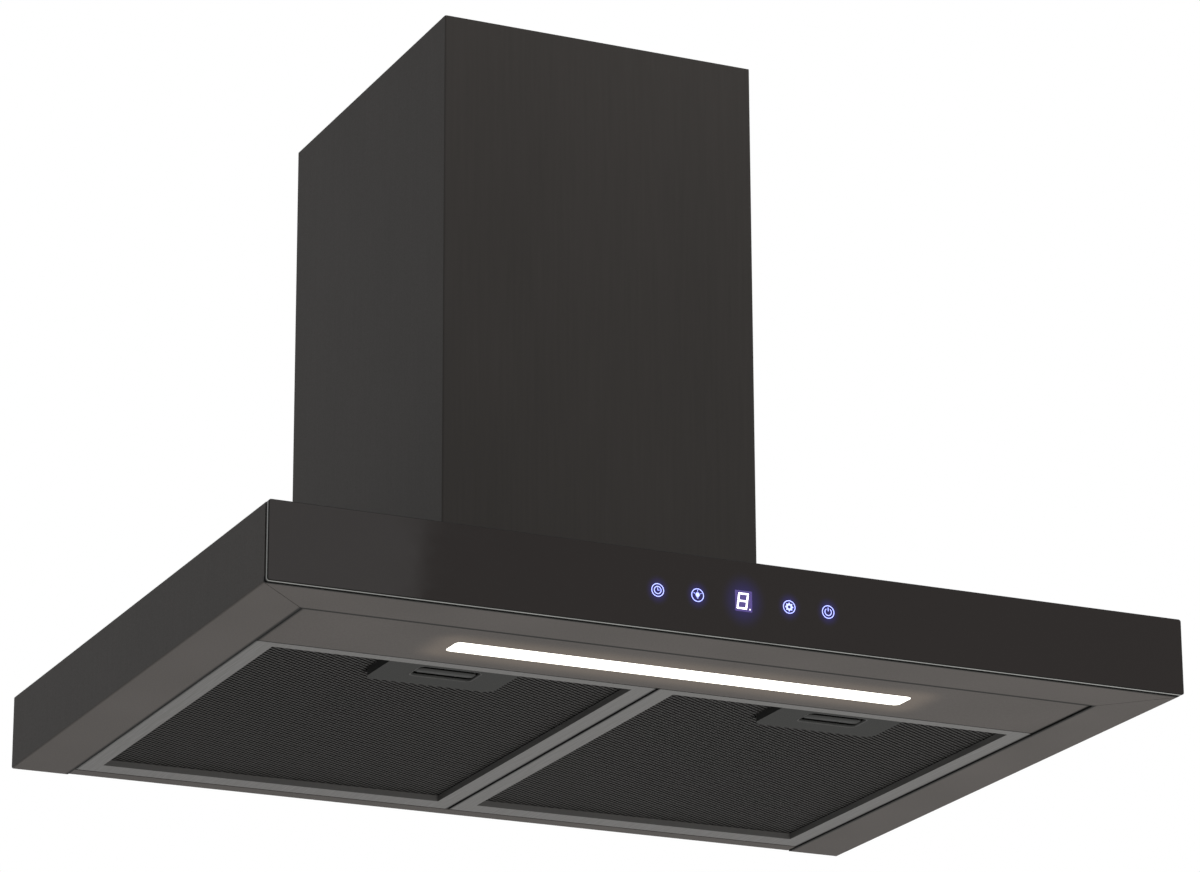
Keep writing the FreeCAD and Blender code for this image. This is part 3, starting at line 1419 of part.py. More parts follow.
def on_axle(body):
    bind(body, "Placement.Base.y", "axle_y")
    bind(body, "Placement.Base.z", "axle_z")


def blower_wheel():
    """Double-inlet wheel: hub and middle disc, forward-curved blades and two end rings."""
    body = new_body("blower_wheel_body")
    hub = sketch(body, "wheel_hub", "XY_Plane")
    outline(hub, [
        ("-hub_left", "shaft_radius"),
        ("hub_right", "shaft_radius"),
        ("hub_right", "hub_radius"),
        ("wheel_disc / 2", "hub_radius"),
        ("wheel_disc / 2", "wheel_radius"),
        ("-wheel_disc / 2", "wheel_radius"),
        ("-wheel_disc / 2", "hub_radius"),
        ("-hub_left", "hub_radius"),
    ])
    revolve(hub, "H_Axis")
    blade = sketch(body, "wheel_blade", "YZ_Plane")
    outer = arc(blade, "blade_bow", "blade_root", "blade_bow + blade_thickness / 2", 90, 180)
    inner = arc(blade, "blade_bow", "blade_root", "blade_bow - blade_thickness / 2", 90, 180)
    hold_radius(blade, outer, "blade_bow + blade_thickness / 2")
    hold_radius(blade, inner, "blade_bow - blade_thickness / 2")
    ends = [blade.addGeometry(Part.LineSegment(FreeCAD.Vector(*a), FreeCAD.Vector(*b)))
            for a, b in (blade_ends())]
    for line, point in ((0, 1), (1, 2)):
        blade.addConstraint(Sketcher.Constraint("Coincident", outer, point, ends[line], 1))
        blade.addConstraint(Sketcher.Constraint("Coincident", inner, point, ends[line], 2))
    for edge in (outer, inner):
        blade.addConstraint(Sketcher.Constraint("Vertical", edge, 3, edge, 1))
        blade.addConstraint(Sketcher.Constraint("Horizontal", edge, 3, edge, 2))
    first = pad(blade, "wheel_width", both_ways=True)
    ring_of_blades = body.newObject("PartDesign::PolarPattern", "wheel_blades")
    ring_of_blades.Originals = [first]
    ring_of_blades.Axis = (hub, ["H_Axis"])
    ring_of_blades.Angle = 360
    bind(ring_of_blades, "Occurrences", "blade_count")
    body.Tip = ring_of_blades
    for name, sign in SIDES:
        ring = sketch(body, f"wheel_ring_{name}", "XY_Plane")
        rectangle(ring, (f"{sign} * (wheel_half - wheel_ring)", f"{sign} * wheel_half"),
                  ("wheel_radius - wheel_ring_depth", "wheel_radius"))
        revolve(ring, "H_Axis")
    on_axle(body)
    keep("blower_wheel", body)


def blade_ends():
    """The end lines of the blade's section, at the top and at the left of its arcs."""
    bow, root, half = number("blade_bow"), number("blade_root"), number("blade_thickness / 2")
    top = ((bow, root + bow + half, 0), (bow, root + bow - half, 0))
    left = ((-half, root, 0), (half, root, 0))
    return top, left


def motor_shaft():
    shaft = rod("motor_shaft_rod", "shaft_radius", ("-motor_front - shaft_depth + 1", "0", "0"),
                "motor_front + shaft_depth - 1 + shaft_end", "+x")
    bind(shaft, "Placement.Base.y", "axle_y")
    bind(shaft, "Placement.Base.z", "axle_z")
    keep("motor_shaft", shaft)


def wheel_nut():
    """Cap nut that closes over the end of the shaft."""
    start = ("hub_right", "axle_y", "axle_z")
    body = hexagon("wheel_nut_hex", "wheel_nut_across", start, "wheel_nut_height", "+x")
    bore = rod("wheel_nut_bore", "shaft_radius", start, "shaft_end - hub_right + shaft_clearance",
               "+x")
    keep("wheel_nut", cut("wheel_nut_cut", body, [bore]))


def motor():
    """Capacitor motor that reaches into the wheel: rounded can, front and rear bosses."""
    body = new_body("motor_body")
    profile = sketch(body, "motor_profile", "XY_Plane")
    outline(profile, [
        ("arm_face", "0"),
        ("-motor_front - shaft_depth", "0"),
        ("-motor_front - shaft_depth", "shaft_radius + shaft_clearance"),
        ("-motor_front + motor_boss", "shaft_radius + shaft_clearance"),
        ("-motor_front + motor_boss", "motor_boss_radius"),
        ("-motor_front", "motor_boss_radius"),
        ("-motor_front", "motor_radius"),
        ("motor_back", "motor_radius"),
        ("motor_back", "motor_boss_radius"),
        ("arm_face", "motor_boss_radius"),
    ])
    can = revolve(profile, "H_Axis")
    soften(can, "Fillet", "motor_round", lambda middle, way: (
        abs(math.hypot(middle.y, middle.z) - number("motor_radius")) < 0.1
        and (near(middle.x, "-motor_front") or near(middle.x, "motor_back"))))
    on_axle(body)
    keep("motor", body)


def motor_bracket():
    """Three-armed bracket: its hub holds the motor and its arms end on the rubber mounts."""
    body = new_body("motor_bracket_body")
    hub = sketch(body, "arm_hub", "YZ_Plane", "arm_back")
    circle(hub, "0", "0", "arm_hub_radius")
    pad(hub, "arm_thickness")
    arm = sketch(body, "arm_plan", "YZ_Plane", "arm_back")
    rectangle(arm, ("-arm_width / 2", "arm_width / 2"), ("0", "mount_circle + arm_width / 2"))
    first = pad(arm, "arm_thickness")
    doc.recompute()
    arms = body.newObject("PartDesign::PolarPattern", "arm_ring")
    arms.Originals = [first]
    arms.Axis = (hub, ["N_Axis"])
    arms.Angle = 360
    bind(arms, "Occurrences", "arm_count")
    body.Tip = arms
    hole = sketch(body, "arm_hole", "YZ_Plane", "arm_back")
    circle(hole, "0", "mount_circle", "hole_radius")
    drilled = pocket(hole, "arm_thickness")
    doc.recompute()
    holes = body.newObject("PartDesign::PolarPattern", "arm_holes")
    holes.Originals = [drilled]
    holes.Axis = (hub, ["N_Axis"])
    holes.Angle = 360
    bind(holes, "Occurrences", "arm_count")
    body.Tip = holes
    on_axle(body)
    keep("motor_bracket", body)


def around_mounts():
    """The angle of each motor mount, from +Y towards +Z."""
    count = int(number("arm_count"))
    return [f"{360 * index / count + 90} deg" for index in range(count)]


def motor_mounts():
    mounts = []
    for index, angle in enumerate(around_mounts()):
        start = ("arm_face", f"axle_y + mount_circle * cos({angle})",
                 f"axle_z + mount_circle * sin({angle})")
        body = rod(f"mount_{index}", "mount_radius", start, "mount_height", "+x")
        bore = rod(f"mount_bore_{index}", "hole_radius", start, "mount_height", "+x")
        mounts.append(cut(f"mount_cut_{index}", body, [bore]))
    keep("motor_mounts", group("motor_mount_group", mounts))


def motor_screws():
    screws = []
    for index, angle in enumerate(around_mounts()):
        seat = ("arm_back", f"axle_y + mount_circle * cos({angle})",
                f"axle_z + mount_circle * sin({angle})")
        screws.append(screw(f"motor_screw_{index}", seat,
                            "arm_thickness + mount_height + volute_wall", "+x"))
    keep("motor_screws", group("motor_screw_group", screws))


def capacitor():
    """Motor capacitor with a moulded foot on the box's right wall."""
    centre_x = "box_half - box_sheet - capacitor_foot / 2 - capacitor_radius"
    low = "canopy_height + capacitor_rise"
    can = rod("capacitor_can", "capacitor_radius", (centre_x, "-capacitor_setback", low),
              "capacitor_height")
    foot = block("capacitor_foot_block", (centre_x, "box_half - box_sheet"),
                 ("-capacitor_setback - capacitor_foot", "-capacitor_setback + capacitor_foot"),
                 (f"{low} + capacitor_height / 3", f"{low} + capacitor_height * 2 / 3"))
    keep("capacitor", fuse("capacitor_joined", [can, foot]))


# ---------------------------------------------------------------- outlet

def outlet_spigot():
    """Round collar for the duct on a square plate, with two stops under the flaps."""
    body = new_body("outlet_spigot_body")
    plate = sketch(body, "spigot_plate_plan", "XY_Plane")
    half = "spigot_plate / 2"
    rectangle(plate, (f"-{half}", half), (f"-{half}", half))
    base = pad(plate, "spigot_plate_thickness")
    soften(base, "Fillet", "spigot_plate_corner", lambda middle, way: abs(way.z) > 0.9)
    collar = sketch(body, "spigot_collar", "XY_Plane")
    circle(collar, "0", "0", "spigot_radius")
    pad(collar, "spigot_height")
    bore = sketch(body, "spigot_bore_plan", "XY_Plane")
    circle(bore, "0", "0", "spigot_bore")
    pocket(bore, "spigot_height")
    holes = sketch(body, "spigot_screw_holes", "XY_Plane")
    for x in ("-spigot_screw_x", "spigot_screw_x"):
        for y in ("-spigot_screw_y", "spigot_screw_y"):
            circle(holes, x, y, "hole_radius")
    pocket(holes, "spigot_plate_thickness")
    pin_hole = sketch(body, "spigot_pin_hole", "YZ_Plane")
    circle(pin_hole, "0", "flap_rise", "pin_radius")
    pocket(pin_hole, "2 * spigot_radius + 2", both_ways=True)
    stops = sketch(body, "spigot_stops", "XY_Plane",
                   "flap_rise - flap_thickness / 2 - stop_clearance - stop_height")
    for low, high in (("-spigot_bore - spigot_wall / 2", "-spigot_bore + stop_reach"),
                      ("spigot_bore - stop_reach", "spigot_bore + spigot_wall / 2")):
        rectangle(stops, ("-stop_width / 2", "stop_width / 2"), (low, high))
    pad(stops, "stop_height")
    bind(body, "Placement.Base.y", "spigot_y")
    bind(body, "Placement.Base.z", "box_top")
    keep("outlet_spigot", body)


def damper_flap(label, sign):
    """Half-round non-return flap with two knuckles on the cross pin."""
    disc = rod(f"{label}_disc", "flap_radius", ("0", "0", "-flap_thickness / 2"), "flap_thickness")
    edge = f"{sign} * flap_edge"
    beyond = f"{-sign} * (flap_radius + 1)"
    span = sorted((edge, beyond), key=number)
    half = cut(f"{label}_half", disc, [block(f"{label}_away", ("-flap_radius - 1", "flap_radius + 1"),
                                             span, ("-flap_thickness", "flap_thickness"))])
    pieces = [half]
    pitch = "(knuckle_length + knuckle_gap)"
    for index in (0, 1):
        low = f"{pitch} * ({2 * index - 2 + (sign > 0)}) + knuckle_gap / 2"
        name = f"{label}_knuckle_{index}"
        web = sorted((f"{sign} * pin_radius", f"{sign} * (flap_edge + 1)"), key=number)
        pieces.append(rod(name, "knuckle_radius", (low, "0", "0"), "knuckle_length", "+x"))
        pieces.append(block(name + "_web", (low, f"{low} + knuckle_length"), web,
                            ("-flap_thickness / 2", "flap_thickness / 2")))
    bore = rod(f"{label}_bore", "pin_radius + pin_clearance", ("-flap_radius", "0", "0"),
               "2 * flap_radius", "+x")
    flap = cut(f"{label}_cut", fuse(f"{label}_solid", pieces), [bore])
    bind(flap, "Placement.Base.y", "spigot_y")
    bind(flap, "Placement.Base.z", "flap_z")
    keep(label, flap)


def flap_pin():
    keep("flap_pin", rod("flap_pin_rod", "pin_radius", ("-spigot_radius", "spigot_y", "flap_z"),
                         "2 * spigot_radius", "+x"))


def cable_gland():
    """Gland on the box's top plate where the mains cable enters, with an empty bore."""
    place = ("-gland_x", "-gland_setback")
    pieces = [
        hexagon("gland_flange_hex", "2 * gland_flange_radius", (*place, "box_top"), "gland_flange"),
        rod("gland_cap", "gland_cap_radius", (*place, "box_top"), "gland_height"),
        rod("gland_thread", "gland_thread_radius", (*place, "box_top - box_sheet - gland_tail"),
            "box_sheet + gland_tail"),
    ]
    bore = rod("gland_bore", "gland_bore_radius", (*place, "box_top - box_sheet - gland_tail - 1"),
               "gland_height + gland_tail + box_sheet + 2")
    keep("cable_gland", cut("cable_gland_cut", fuse("gland_solid", pieces), [bore]))


def gland_nut():
    start = ("-gland_x", "-gland_setback", "box_ceiling - gland_nut")
    body = hexagon("gland_nut_hex", "2 * gland_flange_radius", start, "gland_nut")
    bore = rod("gland_nut_bore", "gland_thread_radius", start, "gland_nut")
    keep("gland_nut", cut("gland_nut_cut", body, [bore]))


# ---------------------------------------------------------------- screws

def canopy_screws():
    """Screws from below the top plate into the feet of the chimney and of the blower's box."""
    reach = "canopy_sheet + box_sheet + screw_tip"
    screws = []
    for place in ("foot_screw_x", "box_screw_x"):
        for side, sign in SIDES:
            for end in ("front", "rear"):
                seat = (f"{sign} * {place}", f"-foot_screw_{end}", "top_under")
                screws.append(screw(f"{place}_{side}_{end}_screw", seat, reach, "+z"))
    keep("canopy_screws", group("canopy_screw_group", screws))


def spigot_screws():
    screws = []
    reach = "spigot_plate_thickness + box_sheet + mouth_tab_thickness + screw_tip"
    for side, sign in SIDES:
        for end, way in (("front", "-"), ("rear", "+")):
            seat = (f"{sign} * spigot_screw_x", f"spigot_y {way} spigot_screw_y",
                    "box_top + spigot_plate_thickness")
            screws.append(screw(f"spigot_screw_{side}_{end}", seat, reach, "-z"))
    keep("spigot_screws", group("spigot_screw_group", screws))


def bracket_screws():
    """Two screws from inside the bracket's ears into the upper chimney."""
    screws = []
    for side, sign in SIDES:
        seat = (f"{sign} * (upper_inner - bracket_sheet)", "-ear_screw_setback",
                "bracket_low + bracket_height / 2")
        screws.append(screw(f"bracket_screw_{side}", seat, "bracket_sheet + chimney_sheet",
                            "+x" if sign > 0 else "-x"))
    keep("bracket_screws", group("bracket_screw_group", screws))


# ---------------------------------------------------------------- build, check and write

def check_document():
    """Stop if any object failed, or any sub-part has no valid solid."""
    for thing in doc.Objects:
        if any(state in ("Invalid", "Error") for state in thing.State):
            raise RuntimeError(f"{thing.Name} is {thing.State}")
    for part in sub_parts:
        if part.Shape.isNull() or not part.Shape.isValid() or not part.Shape.Solids:
            raise RuntimeError(f"{part.Label} has no valid solid")


def write_parts():
    os.makedirs("parts", exist_ok=True)
    for part in sub_parts:
        part.Shape.exportStep(f"parts/{part.Label}.step")


sizes = fill_sheet("sizes", SIZES, as_formula=False)
places = fill_sheet("places", PLACES, as_formula=True)

canopy_shell()
rear_panel()
front_glass()
glass_tape()
touch_board()
display_module()
touch_springs()
touch_board_clips()
lamp_panel()
lamp_lens()
led_holder()
led_board()
leds()
lamp_brackets()
lamp_nuts()
led_driver()
control_box()
control_lid()
power_board()
terminal_block()
grease_filters()
lower_chimney()
upper_chimney()
chimney_bracket()
blower_box()
box_front()
box_cover()
inlet_grille()
for half_side, half_sign in SIDES:
    volute_half(half_side, half_sign)
blower_wheel()
motor_shaft()
wheel_nut()
motor()
motor_bracket()
motor_mounts()
motor_screws()
capacitor()
outlet_spigot()
damper_flap("damper_flap_front", -1)
damper_flap("damper_flap_rear", 1)
flap_pin()
cable_gland()
gland_nut()
canopy_screws()
spigot_screws()
bracket_screws()

doc.recompute()
check_document()
write_parts()
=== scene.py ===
import math

import bmesh
import bpy
import numpy as np
from bpy.props import FloatProperty, FloatVectorProperty, PointerProperty
from mathutils import Matrix, Vector


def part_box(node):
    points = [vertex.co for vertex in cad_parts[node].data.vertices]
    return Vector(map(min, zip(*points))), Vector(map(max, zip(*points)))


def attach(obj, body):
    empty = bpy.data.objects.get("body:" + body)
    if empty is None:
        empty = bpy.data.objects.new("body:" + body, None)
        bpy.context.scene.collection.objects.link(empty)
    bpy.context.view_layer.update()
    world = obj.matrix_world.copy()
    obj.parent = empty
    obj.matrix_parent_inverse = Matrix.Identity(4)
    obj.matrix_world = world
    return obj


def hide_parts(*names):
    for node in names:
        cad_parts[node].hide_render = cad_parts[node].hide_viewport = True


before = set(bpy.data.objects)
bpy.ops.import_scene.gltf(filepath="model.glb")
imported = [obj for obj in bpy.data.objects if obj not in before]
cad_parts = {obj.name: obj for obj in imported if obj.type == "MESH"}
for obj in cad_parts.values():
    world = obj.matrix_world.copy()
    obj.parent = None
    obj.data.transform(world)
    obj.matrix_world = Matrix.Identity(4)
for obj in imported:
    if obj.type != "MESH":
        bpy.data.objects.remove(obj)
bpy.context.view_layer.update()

bl_info = {
    "name": "Chimney range hood",
    "version": (1, 0, 0),
    "blender": (4, 5, 0),
    "location": "View3D > Sidebar > Range Hood",
    "description": "Dresses the packed range hood with its materials and fine parts",
    "category": "Object",
}

MM = 0.001
SIDES = ("left", "right")

# The symbols behind the glass, in millimetres. The print reaches slightly through the face.
SYMBOL_HEIGHT = 23.5
SYMBOL_PLACES = (("timer", -56.0), ("lamp", -30.1), ("fan", 30.1), ("power", 56.0))
PRINT_SHIFT = -0.9
FACE_Y = -459.9
PRINT_LOW = -459.96
PRINT_HIGH = -459.86
GLASS_ARRIS = 0.4

# The slot for the finger in a filter's handle, and the thumb bar in it, in millimetres
SLOT_HALF_WIDTH = 20.25
SLOT_HALF_DEPTH = 10.75
SLOT_FROM_FRONT = 3.4
BAR_REAR_GAP = 4.1
BAR_DEPTH = 9.0
GRIP_HALF_WIDTH = 16.5
GRIP_RIBS = 22

# Reach of the painted rim shade and of the painted lamp light on the panel, in millimetres
RIM_WIDTH = 2.4
LAMP_SPILL = 24.0


# ------------------------------------------------------------------ colour and material tools

def linear(hex_colour):
    """An sRGB hex value as linear red, green, blue and alpha."""
    channels = np.array([int(hex_colour[i:i + 2], 16) for i in (1, 3, 5)]) / 255
    low = channels / 12.92
    high = ((channels + 0.055) / 1.055) ** 2.4
    return (*np.where(channels <= 0.04045, low, high).tolist(), 1.0)


def add(tree, kind, inputs=None, **settings):
    """Add a node. A setting is one of its attributes or the value of an input socket; inputs
    gives each named or numbered input its value or the output socket that feeds it."""
    node = tree.nodes.new(kind)
    for name, value in settings.items():
        if hasattr(node, name):
            setattr(node, name, value)
        else:
            node.inputs[name.replace("_", " ")].default_value = value
    for name, source in (inputs or {}).items():
        if isinstance(source, bpy.types.NodeSocket):
            tree.links.new(source, node.inputs[name])
        else:
            node.inputs[name].default_value = source
    return node


def feed(surface, **sources):
    """Link output sockets to inputs of the shader."""
    for name, source in sources.items():
        surface.id_data.links.new(source, surface.inputs[name.replace("_", " ")])


def new_material(name, **shader):
    """A material with one Principled shader; its constant values sit on its own sockets."""
    material = bpy.data.materials.new(name)
    material.use_nodes = True
    tree = material.node_tree
    tree.nodes.clear()
    surface = add(tree, "ShaderNodeBsdfPrincipled", **shader)
    add(tree, "ShaderNodeOutputMaterial", {"Surface": surface.outputs["BSDF"]})
    return material, tree, surface


def span(tree, source, low, high, to_low, to_high, course="LINEAR"):
    """A number that goes from to_low to to_high while the source goes from low to high."""
    return add(tree, "ShaderNodeMapRange",
               {"Value": source, "From Min": low, "From Max": high, "To Min": to_low,
                "To Max": to_high}, interpolation_type=course).outputs["Result"]


def ramp(tree, source, low, high, dark, light):
    """A colour that goes from dark to light while the source goes from low to high."""
    share = span(tree, source, low, high, 0.0, 1.0)
    return add(tree, "ShaderNodeMix", {"Factor": share, 6: dark, 7: light},
               data_type="RGBA").outputs[2]


def grain(tree, size_mm, stretch=(1, 1, 1), detail=2.0):
    """Noise in Object coordinates whose features are about size_mm, stretched along the axes."""
    place = add(tree, "ShaderNodeTexCoord")
    mapping = add(tree, "ShaderNodeMapping", {"Vector": place.outputs["Object"]},
                  Scale=tuple(1 / (size_mm * MM * s) for s in stretch))
    return add(tree, "ShaderNodeTexNoise", {"Vector": mapping.outputs["Vector"]},
               Scale=1.0, Detail=detail).outputs["Fac"]


def relief(tree, surface, height, depth_mm, strength=1.0):
    """Turn a height from 0 to 1 into surface relief of depth_mm."""
    bump = add(tree, "ShaderNodeBump", {"Height": height}, Strength=strength,
               Distance=depth_mm * MM)
    feed(surface, Normal=bump.outputs["Normal"])


def dress(material, *nodes):
    """Give CAD nodes their material."""
    for node in nodes:
        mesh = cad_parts[node].data
        mesh.materials.clear()
        mesh.materials.append(material)


# ------------------------------------------------------------------ mesh tools

def box_mm(node):
    """The low and the high corner of a CAD node's box, in millimetres."""
    return [np.array(corner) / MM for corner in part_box(node)]


def shape(name, skin, materials, replaces=(), body="hood", index=None, smooth=None):
    """Make an object from a closed skin: its points in millimetres and its faces. The normals
    are recalculated so that they point outwards."""
    points, faces = skin
    mesh = bpy.data.meshes.new(name)
    mesh.from_pydata((np.asarray(points, float) * MM).tolist(), [],
                     [list(map(int, face)) for face in faces])
    for material in materials:
        mesh.materials.append(material)
    if index is not None:
        mesh.polygons.foreach_set("material_index", np.asarray(index, np.int32))
    if smooth is not None:
        mesh.shade_smooth()
        mesh.set_sharp_from_angle(angle=math.radians(smooth))
    mesh.validate()
    mesh.update()
    piece = bpy.data.objects.new(name, mesh)
    bpy.context.scene.collection.objects.link(piece)
    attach(piece, body)
    if replaces:
        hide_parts(*replaces)
    work = bmesh.new()
    work.from_mesh(mesh)
    bmesh.ops.remove_doubles(work, verts=work.verts, dist=1e-7)
    bmesh.ops.recalc_face_normals(work, faces=work.faces)
    work.to_mesh(mesh)
    work.free()


def strip_faces(rows, count):
    """Quads between stacked loops of points: point (r, c) has number r * count + c."""
    r = np.arange(rows - 1)[:, None]
    c = np.arange(count)[None, :]
    following = (c + 1) % count
    quads = np.stack([r * count + c, r * count + following, (r + 1) * count + following,
                      (r + 1) * count + c], -1)
    return quads.reshape(-1, 4).tolist()


def rounded_loop(half_width, half_height, radius, corner=8):
    """Points round a rounded rectangle: quarter circles of the given radius at its corners."""
    angle = np.linspace(0, math.pi / 2, corner)
    turns = np.arange(4)[:, None] * math.pi / 2
    centre_x = np.array([1, -1, -1, 1])[:, None] * (half_width - radius)
    centre_y = np.array([1, 1, -1, -1])[:, None] * (half_height - radius)
    x = centre_x + radius * np.cos(turns + angle)
    y = centre_y + radius * np.sin(turns + angle)
    return np.stack([x.ravel(), y.ravel()], -1)


def stacked(rows):
    """A closed skin through rows of points, each row a loop of the same count; the first and the
    last loop are capped."""
    rows = np.asarray(rows, float)
    count = rows.shape[1]
    last = (len(rows) - 1) * count
    faces = strip_faces(len(rows), count)
    faces += [list(range(count))[::-1], list(range(last, last + count))]
    return rows.reshape(-1, 3), faces


def ring(rows):
    """A closed skin through rows of points whose last row is joined to the first."""
    rows = np.asarray([*rows, rows[0]], float)
    return rows.reshape(-1, 3), strip_faces(*rows.shape[:2])


def separate_solids(node):
    """The corners, in millimetres, of each separate solid of a CAD node. Every corner starts
    with its own number, and corners at one place or in one triangle take the smallest number
    among them until nothing changes."""
    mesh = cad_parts[node].data
    points = np.empty(len(mesh.vertices) * 3)
    mesh.vertices.foreach_get("co", points)
    points = points.reshape(-1, 3) / MM
    corner = np.empty(len(mesh.loops), int)
    mesh.loops.foreach_get("vertex_index", corner)
    triangle = corner.reshape(-1, 3)
    _, place = np.unique(np.round(points, 3), axis=0, return_inverse=True)
    place = place.reshape(-1)
    number = np.arange(place.max() + 1)
    while True:
        least = number[place[triangle]].min(1)
        lower = number.copy()
        np.minimum.at(lower, place[triangle].reshape(-1), np.repeat(least, 3))
        if (lower == number).all():
            break
        number = lower
    owner = number[place]
    return [points[owner == each] for each in np.unique(owner)]


def band(path, width, closed=False):
    """A printed line of even width along a path in the XZ plane.

    Each point moves half the width to both sides, along the normal of the path's own
    direction there (the difference between its two neighbours)."""
    path = np.asarray(path, float)
    if closed:
        way = np.roll(path, -1, 0) - np.roll(path, 1, 0)
    else:
        way = np.gradient(path, axis=0)
    way /= np.linalg.norm(way, axis=1, keepdims=True)
    side = np.stack([-way[:, 1], way[:, 0]], -1) * width / 2
    corners = ((1, PRINT_LOW), (-1, PRINT_LOW), (-1, PRINT_HIGH), (1, PRINT_HIGH))
    rows = np.stack([np.insert(path + sign * side, 1, y, 1) for sign, y in corners], 1)
    return ring(rows) if closed else stacked(rows)


def slab(loop, low=PRINT_LOW):
    """A printed plate with the given outline in the XZ plane."""
    return stacked([np.insert(loop, 1, y, 1) for y in (low, PRINT_HIGH)])


def circle_path(x, z, radius, start=0.0, end=360.0, count=32):
    """Points on a circle in the XZ plane; angles in degrees from +X towards +Z."""
    full = abs(end - start) >= 360
    angle = np.radians(np.linspace(start, end, count, endpoint=not full))
    return np.stack([x + radius * np.cos(angle), z + radius * np.sin(angle)], -1)


def gather(parts):
    """Join (points, faces) pairs into one pair."""
    points, faces, start = [], [], 0
    for some_points, some_faces in parts:
        points.append(np.asarray(some_points, float))
        faces += [[start + i for i in face] for face in some_faces]
        start += len(some_points)
    return np.concatenate(points), faces


# ------------------------------------------------------------------ materials

def powder_coated_steel(name, base, deep, outlines=(), painted_lamp_glow=False):
    """Powder-coated sheet steel: sprayed and baked, so it has a fine pebbled grain, a satin
    sheen and very slight cloudiness. The grain is drawn coarser than real so that it shows.
    Shade is painted into the coat along the folded rims whose outlines are given, and with
    painted_lamp_glow, warm light from the lit strip is painted onto it."""
    material, tree, surface = new_material(
        name, Metallic=0.0, Roughness=0.66, IOR=1.5, Specular_IOR_Level=0.15)
    pebbles = grain(tree, 0.9, detail=3.0)
    total = pebbles
    for pattern in (grain(tree, 70, (1, 1, 2), detail=1.0), grain(tree, 2.2, (1, 1, 30))):
        total = add(tree, "ShaderNodeMath", {0: total, 1: pattern}, operation="ADD").outputs[0]
    colour = ramp(tree, total, 0.5, 2.5, deep, base)
    # Painted shade along each outline.
    for outline in outlines:
        colour = painted_rim_shade(tree, colour, *outline)
    feed(surface, Base_Color=colour, Roughness=span(tree, pebbles, 0.3, 0.7, 0.6, 0.72))
    relief(tree, surface, pebbles, 0.012, 0.5)
    # Painted light: the strip's warm spill is emission on the coat.
    if painted_lamp_glow:
        surface.inputs["Emission Color"].default_value = linear("#ffe2c4")
        feed(surface, Emission_Strength=painted_strip_glow(tree))
    return material


def beyond_rectangle(tree, low, high):
    """How far a point lies outside a rectangle in X and Y, negative inside, and its height; all
    in metres. The first two are the distance from the middle less half the size."""
    place = add(tree, "ShaderNodeTexCoord")
    split = add(tree, "ShaderNodeSeparateXYZ", {"Vector": place.outputs["Object"]})
    beyond = []
    for axis, start, end in zip("XY", low, high):
        value = split.outputs[axis]
        for operation, amount in (("SUBTRACT", (start + end) / 2), ("ABSOLUTE", 0.0),
                                  ("SUBTRACT", (end - start) / 2)):
            value = add(tree, "ShaderNodeMath", {0: value, 1: amount},
                        operation=operation).outputs[0]
        beyond.append(value)
    return (*beyond, split.outputs["Z"])


def painted_rim_shade(tree, colour, low, high, reach=RIM_WIDTH, depth=1.0):
    """Paint shade into a colour near the outline of a rectangle, where the sheet turns up out of
    sight: the colour goes towards near-black. The distance to the outline is the larger of the two
    distances beyond its sides. Only the underside is darkened, the lowest 3 mm."""
    x, y, z = beyond_rectangle(tree, low, high)
    farther = add(tree, "ShaderNodeMath", {0: x, 1: y}, operation="MAXIMUM")
    away = add(tree, "ShaderNodeMath", {0: farther.outputs[0]}, operation="ABSOLUTE")
    near = span(tree, away.outputs[0], reach * 0.35 * MM, reach * MM, depth, 0.0)
    below = span(tree, z, 3 * MM, 4 * MM, 1.0, 0.0)
    amount = add(tree, "ShaderNodeMath", {0: near, 1: below}, operation="MULTIPLY")
    # Painted shade: mix towards near-black by the amount above.
    return add(tree, "ShaderNodeMix",
               {"Factor": amount.outputs[0], 6: colour, 7: linear("#0b0b0a")},
               data_type="RGBA").outputs[2]


def painted_strip_glow(tree):
    """Painted light from the strip spilling warm onto the panel: emission that fades with the
    distance from the lit strip, measured from the strip's rectangle in Object coordinates."""
    low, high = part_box("lamp_lens")
    inset = Vector((2.5, 2.5, 0)) * MM
    sides = {axis: add(tree, "ShaderNodeMath", {0: over, 1: 0.0}, operation="MAXIMUM").outputs[0]
             for axis, over in zip("XY", beyond_rectangle(tree, low + inset, high - inset))}
    apart = add(tree, "ShaderNodeCombineXYZ", sides)
    length = add(tree, "ShaderNodeVectorMath", {0: apart.outputs[0]}, operation="LENGTH")
    return span(tree, length.outputs["Value"], 0.0, LAMP_SPILL * MM, 0.06, 0.0, "SMOOTHERSTEP")


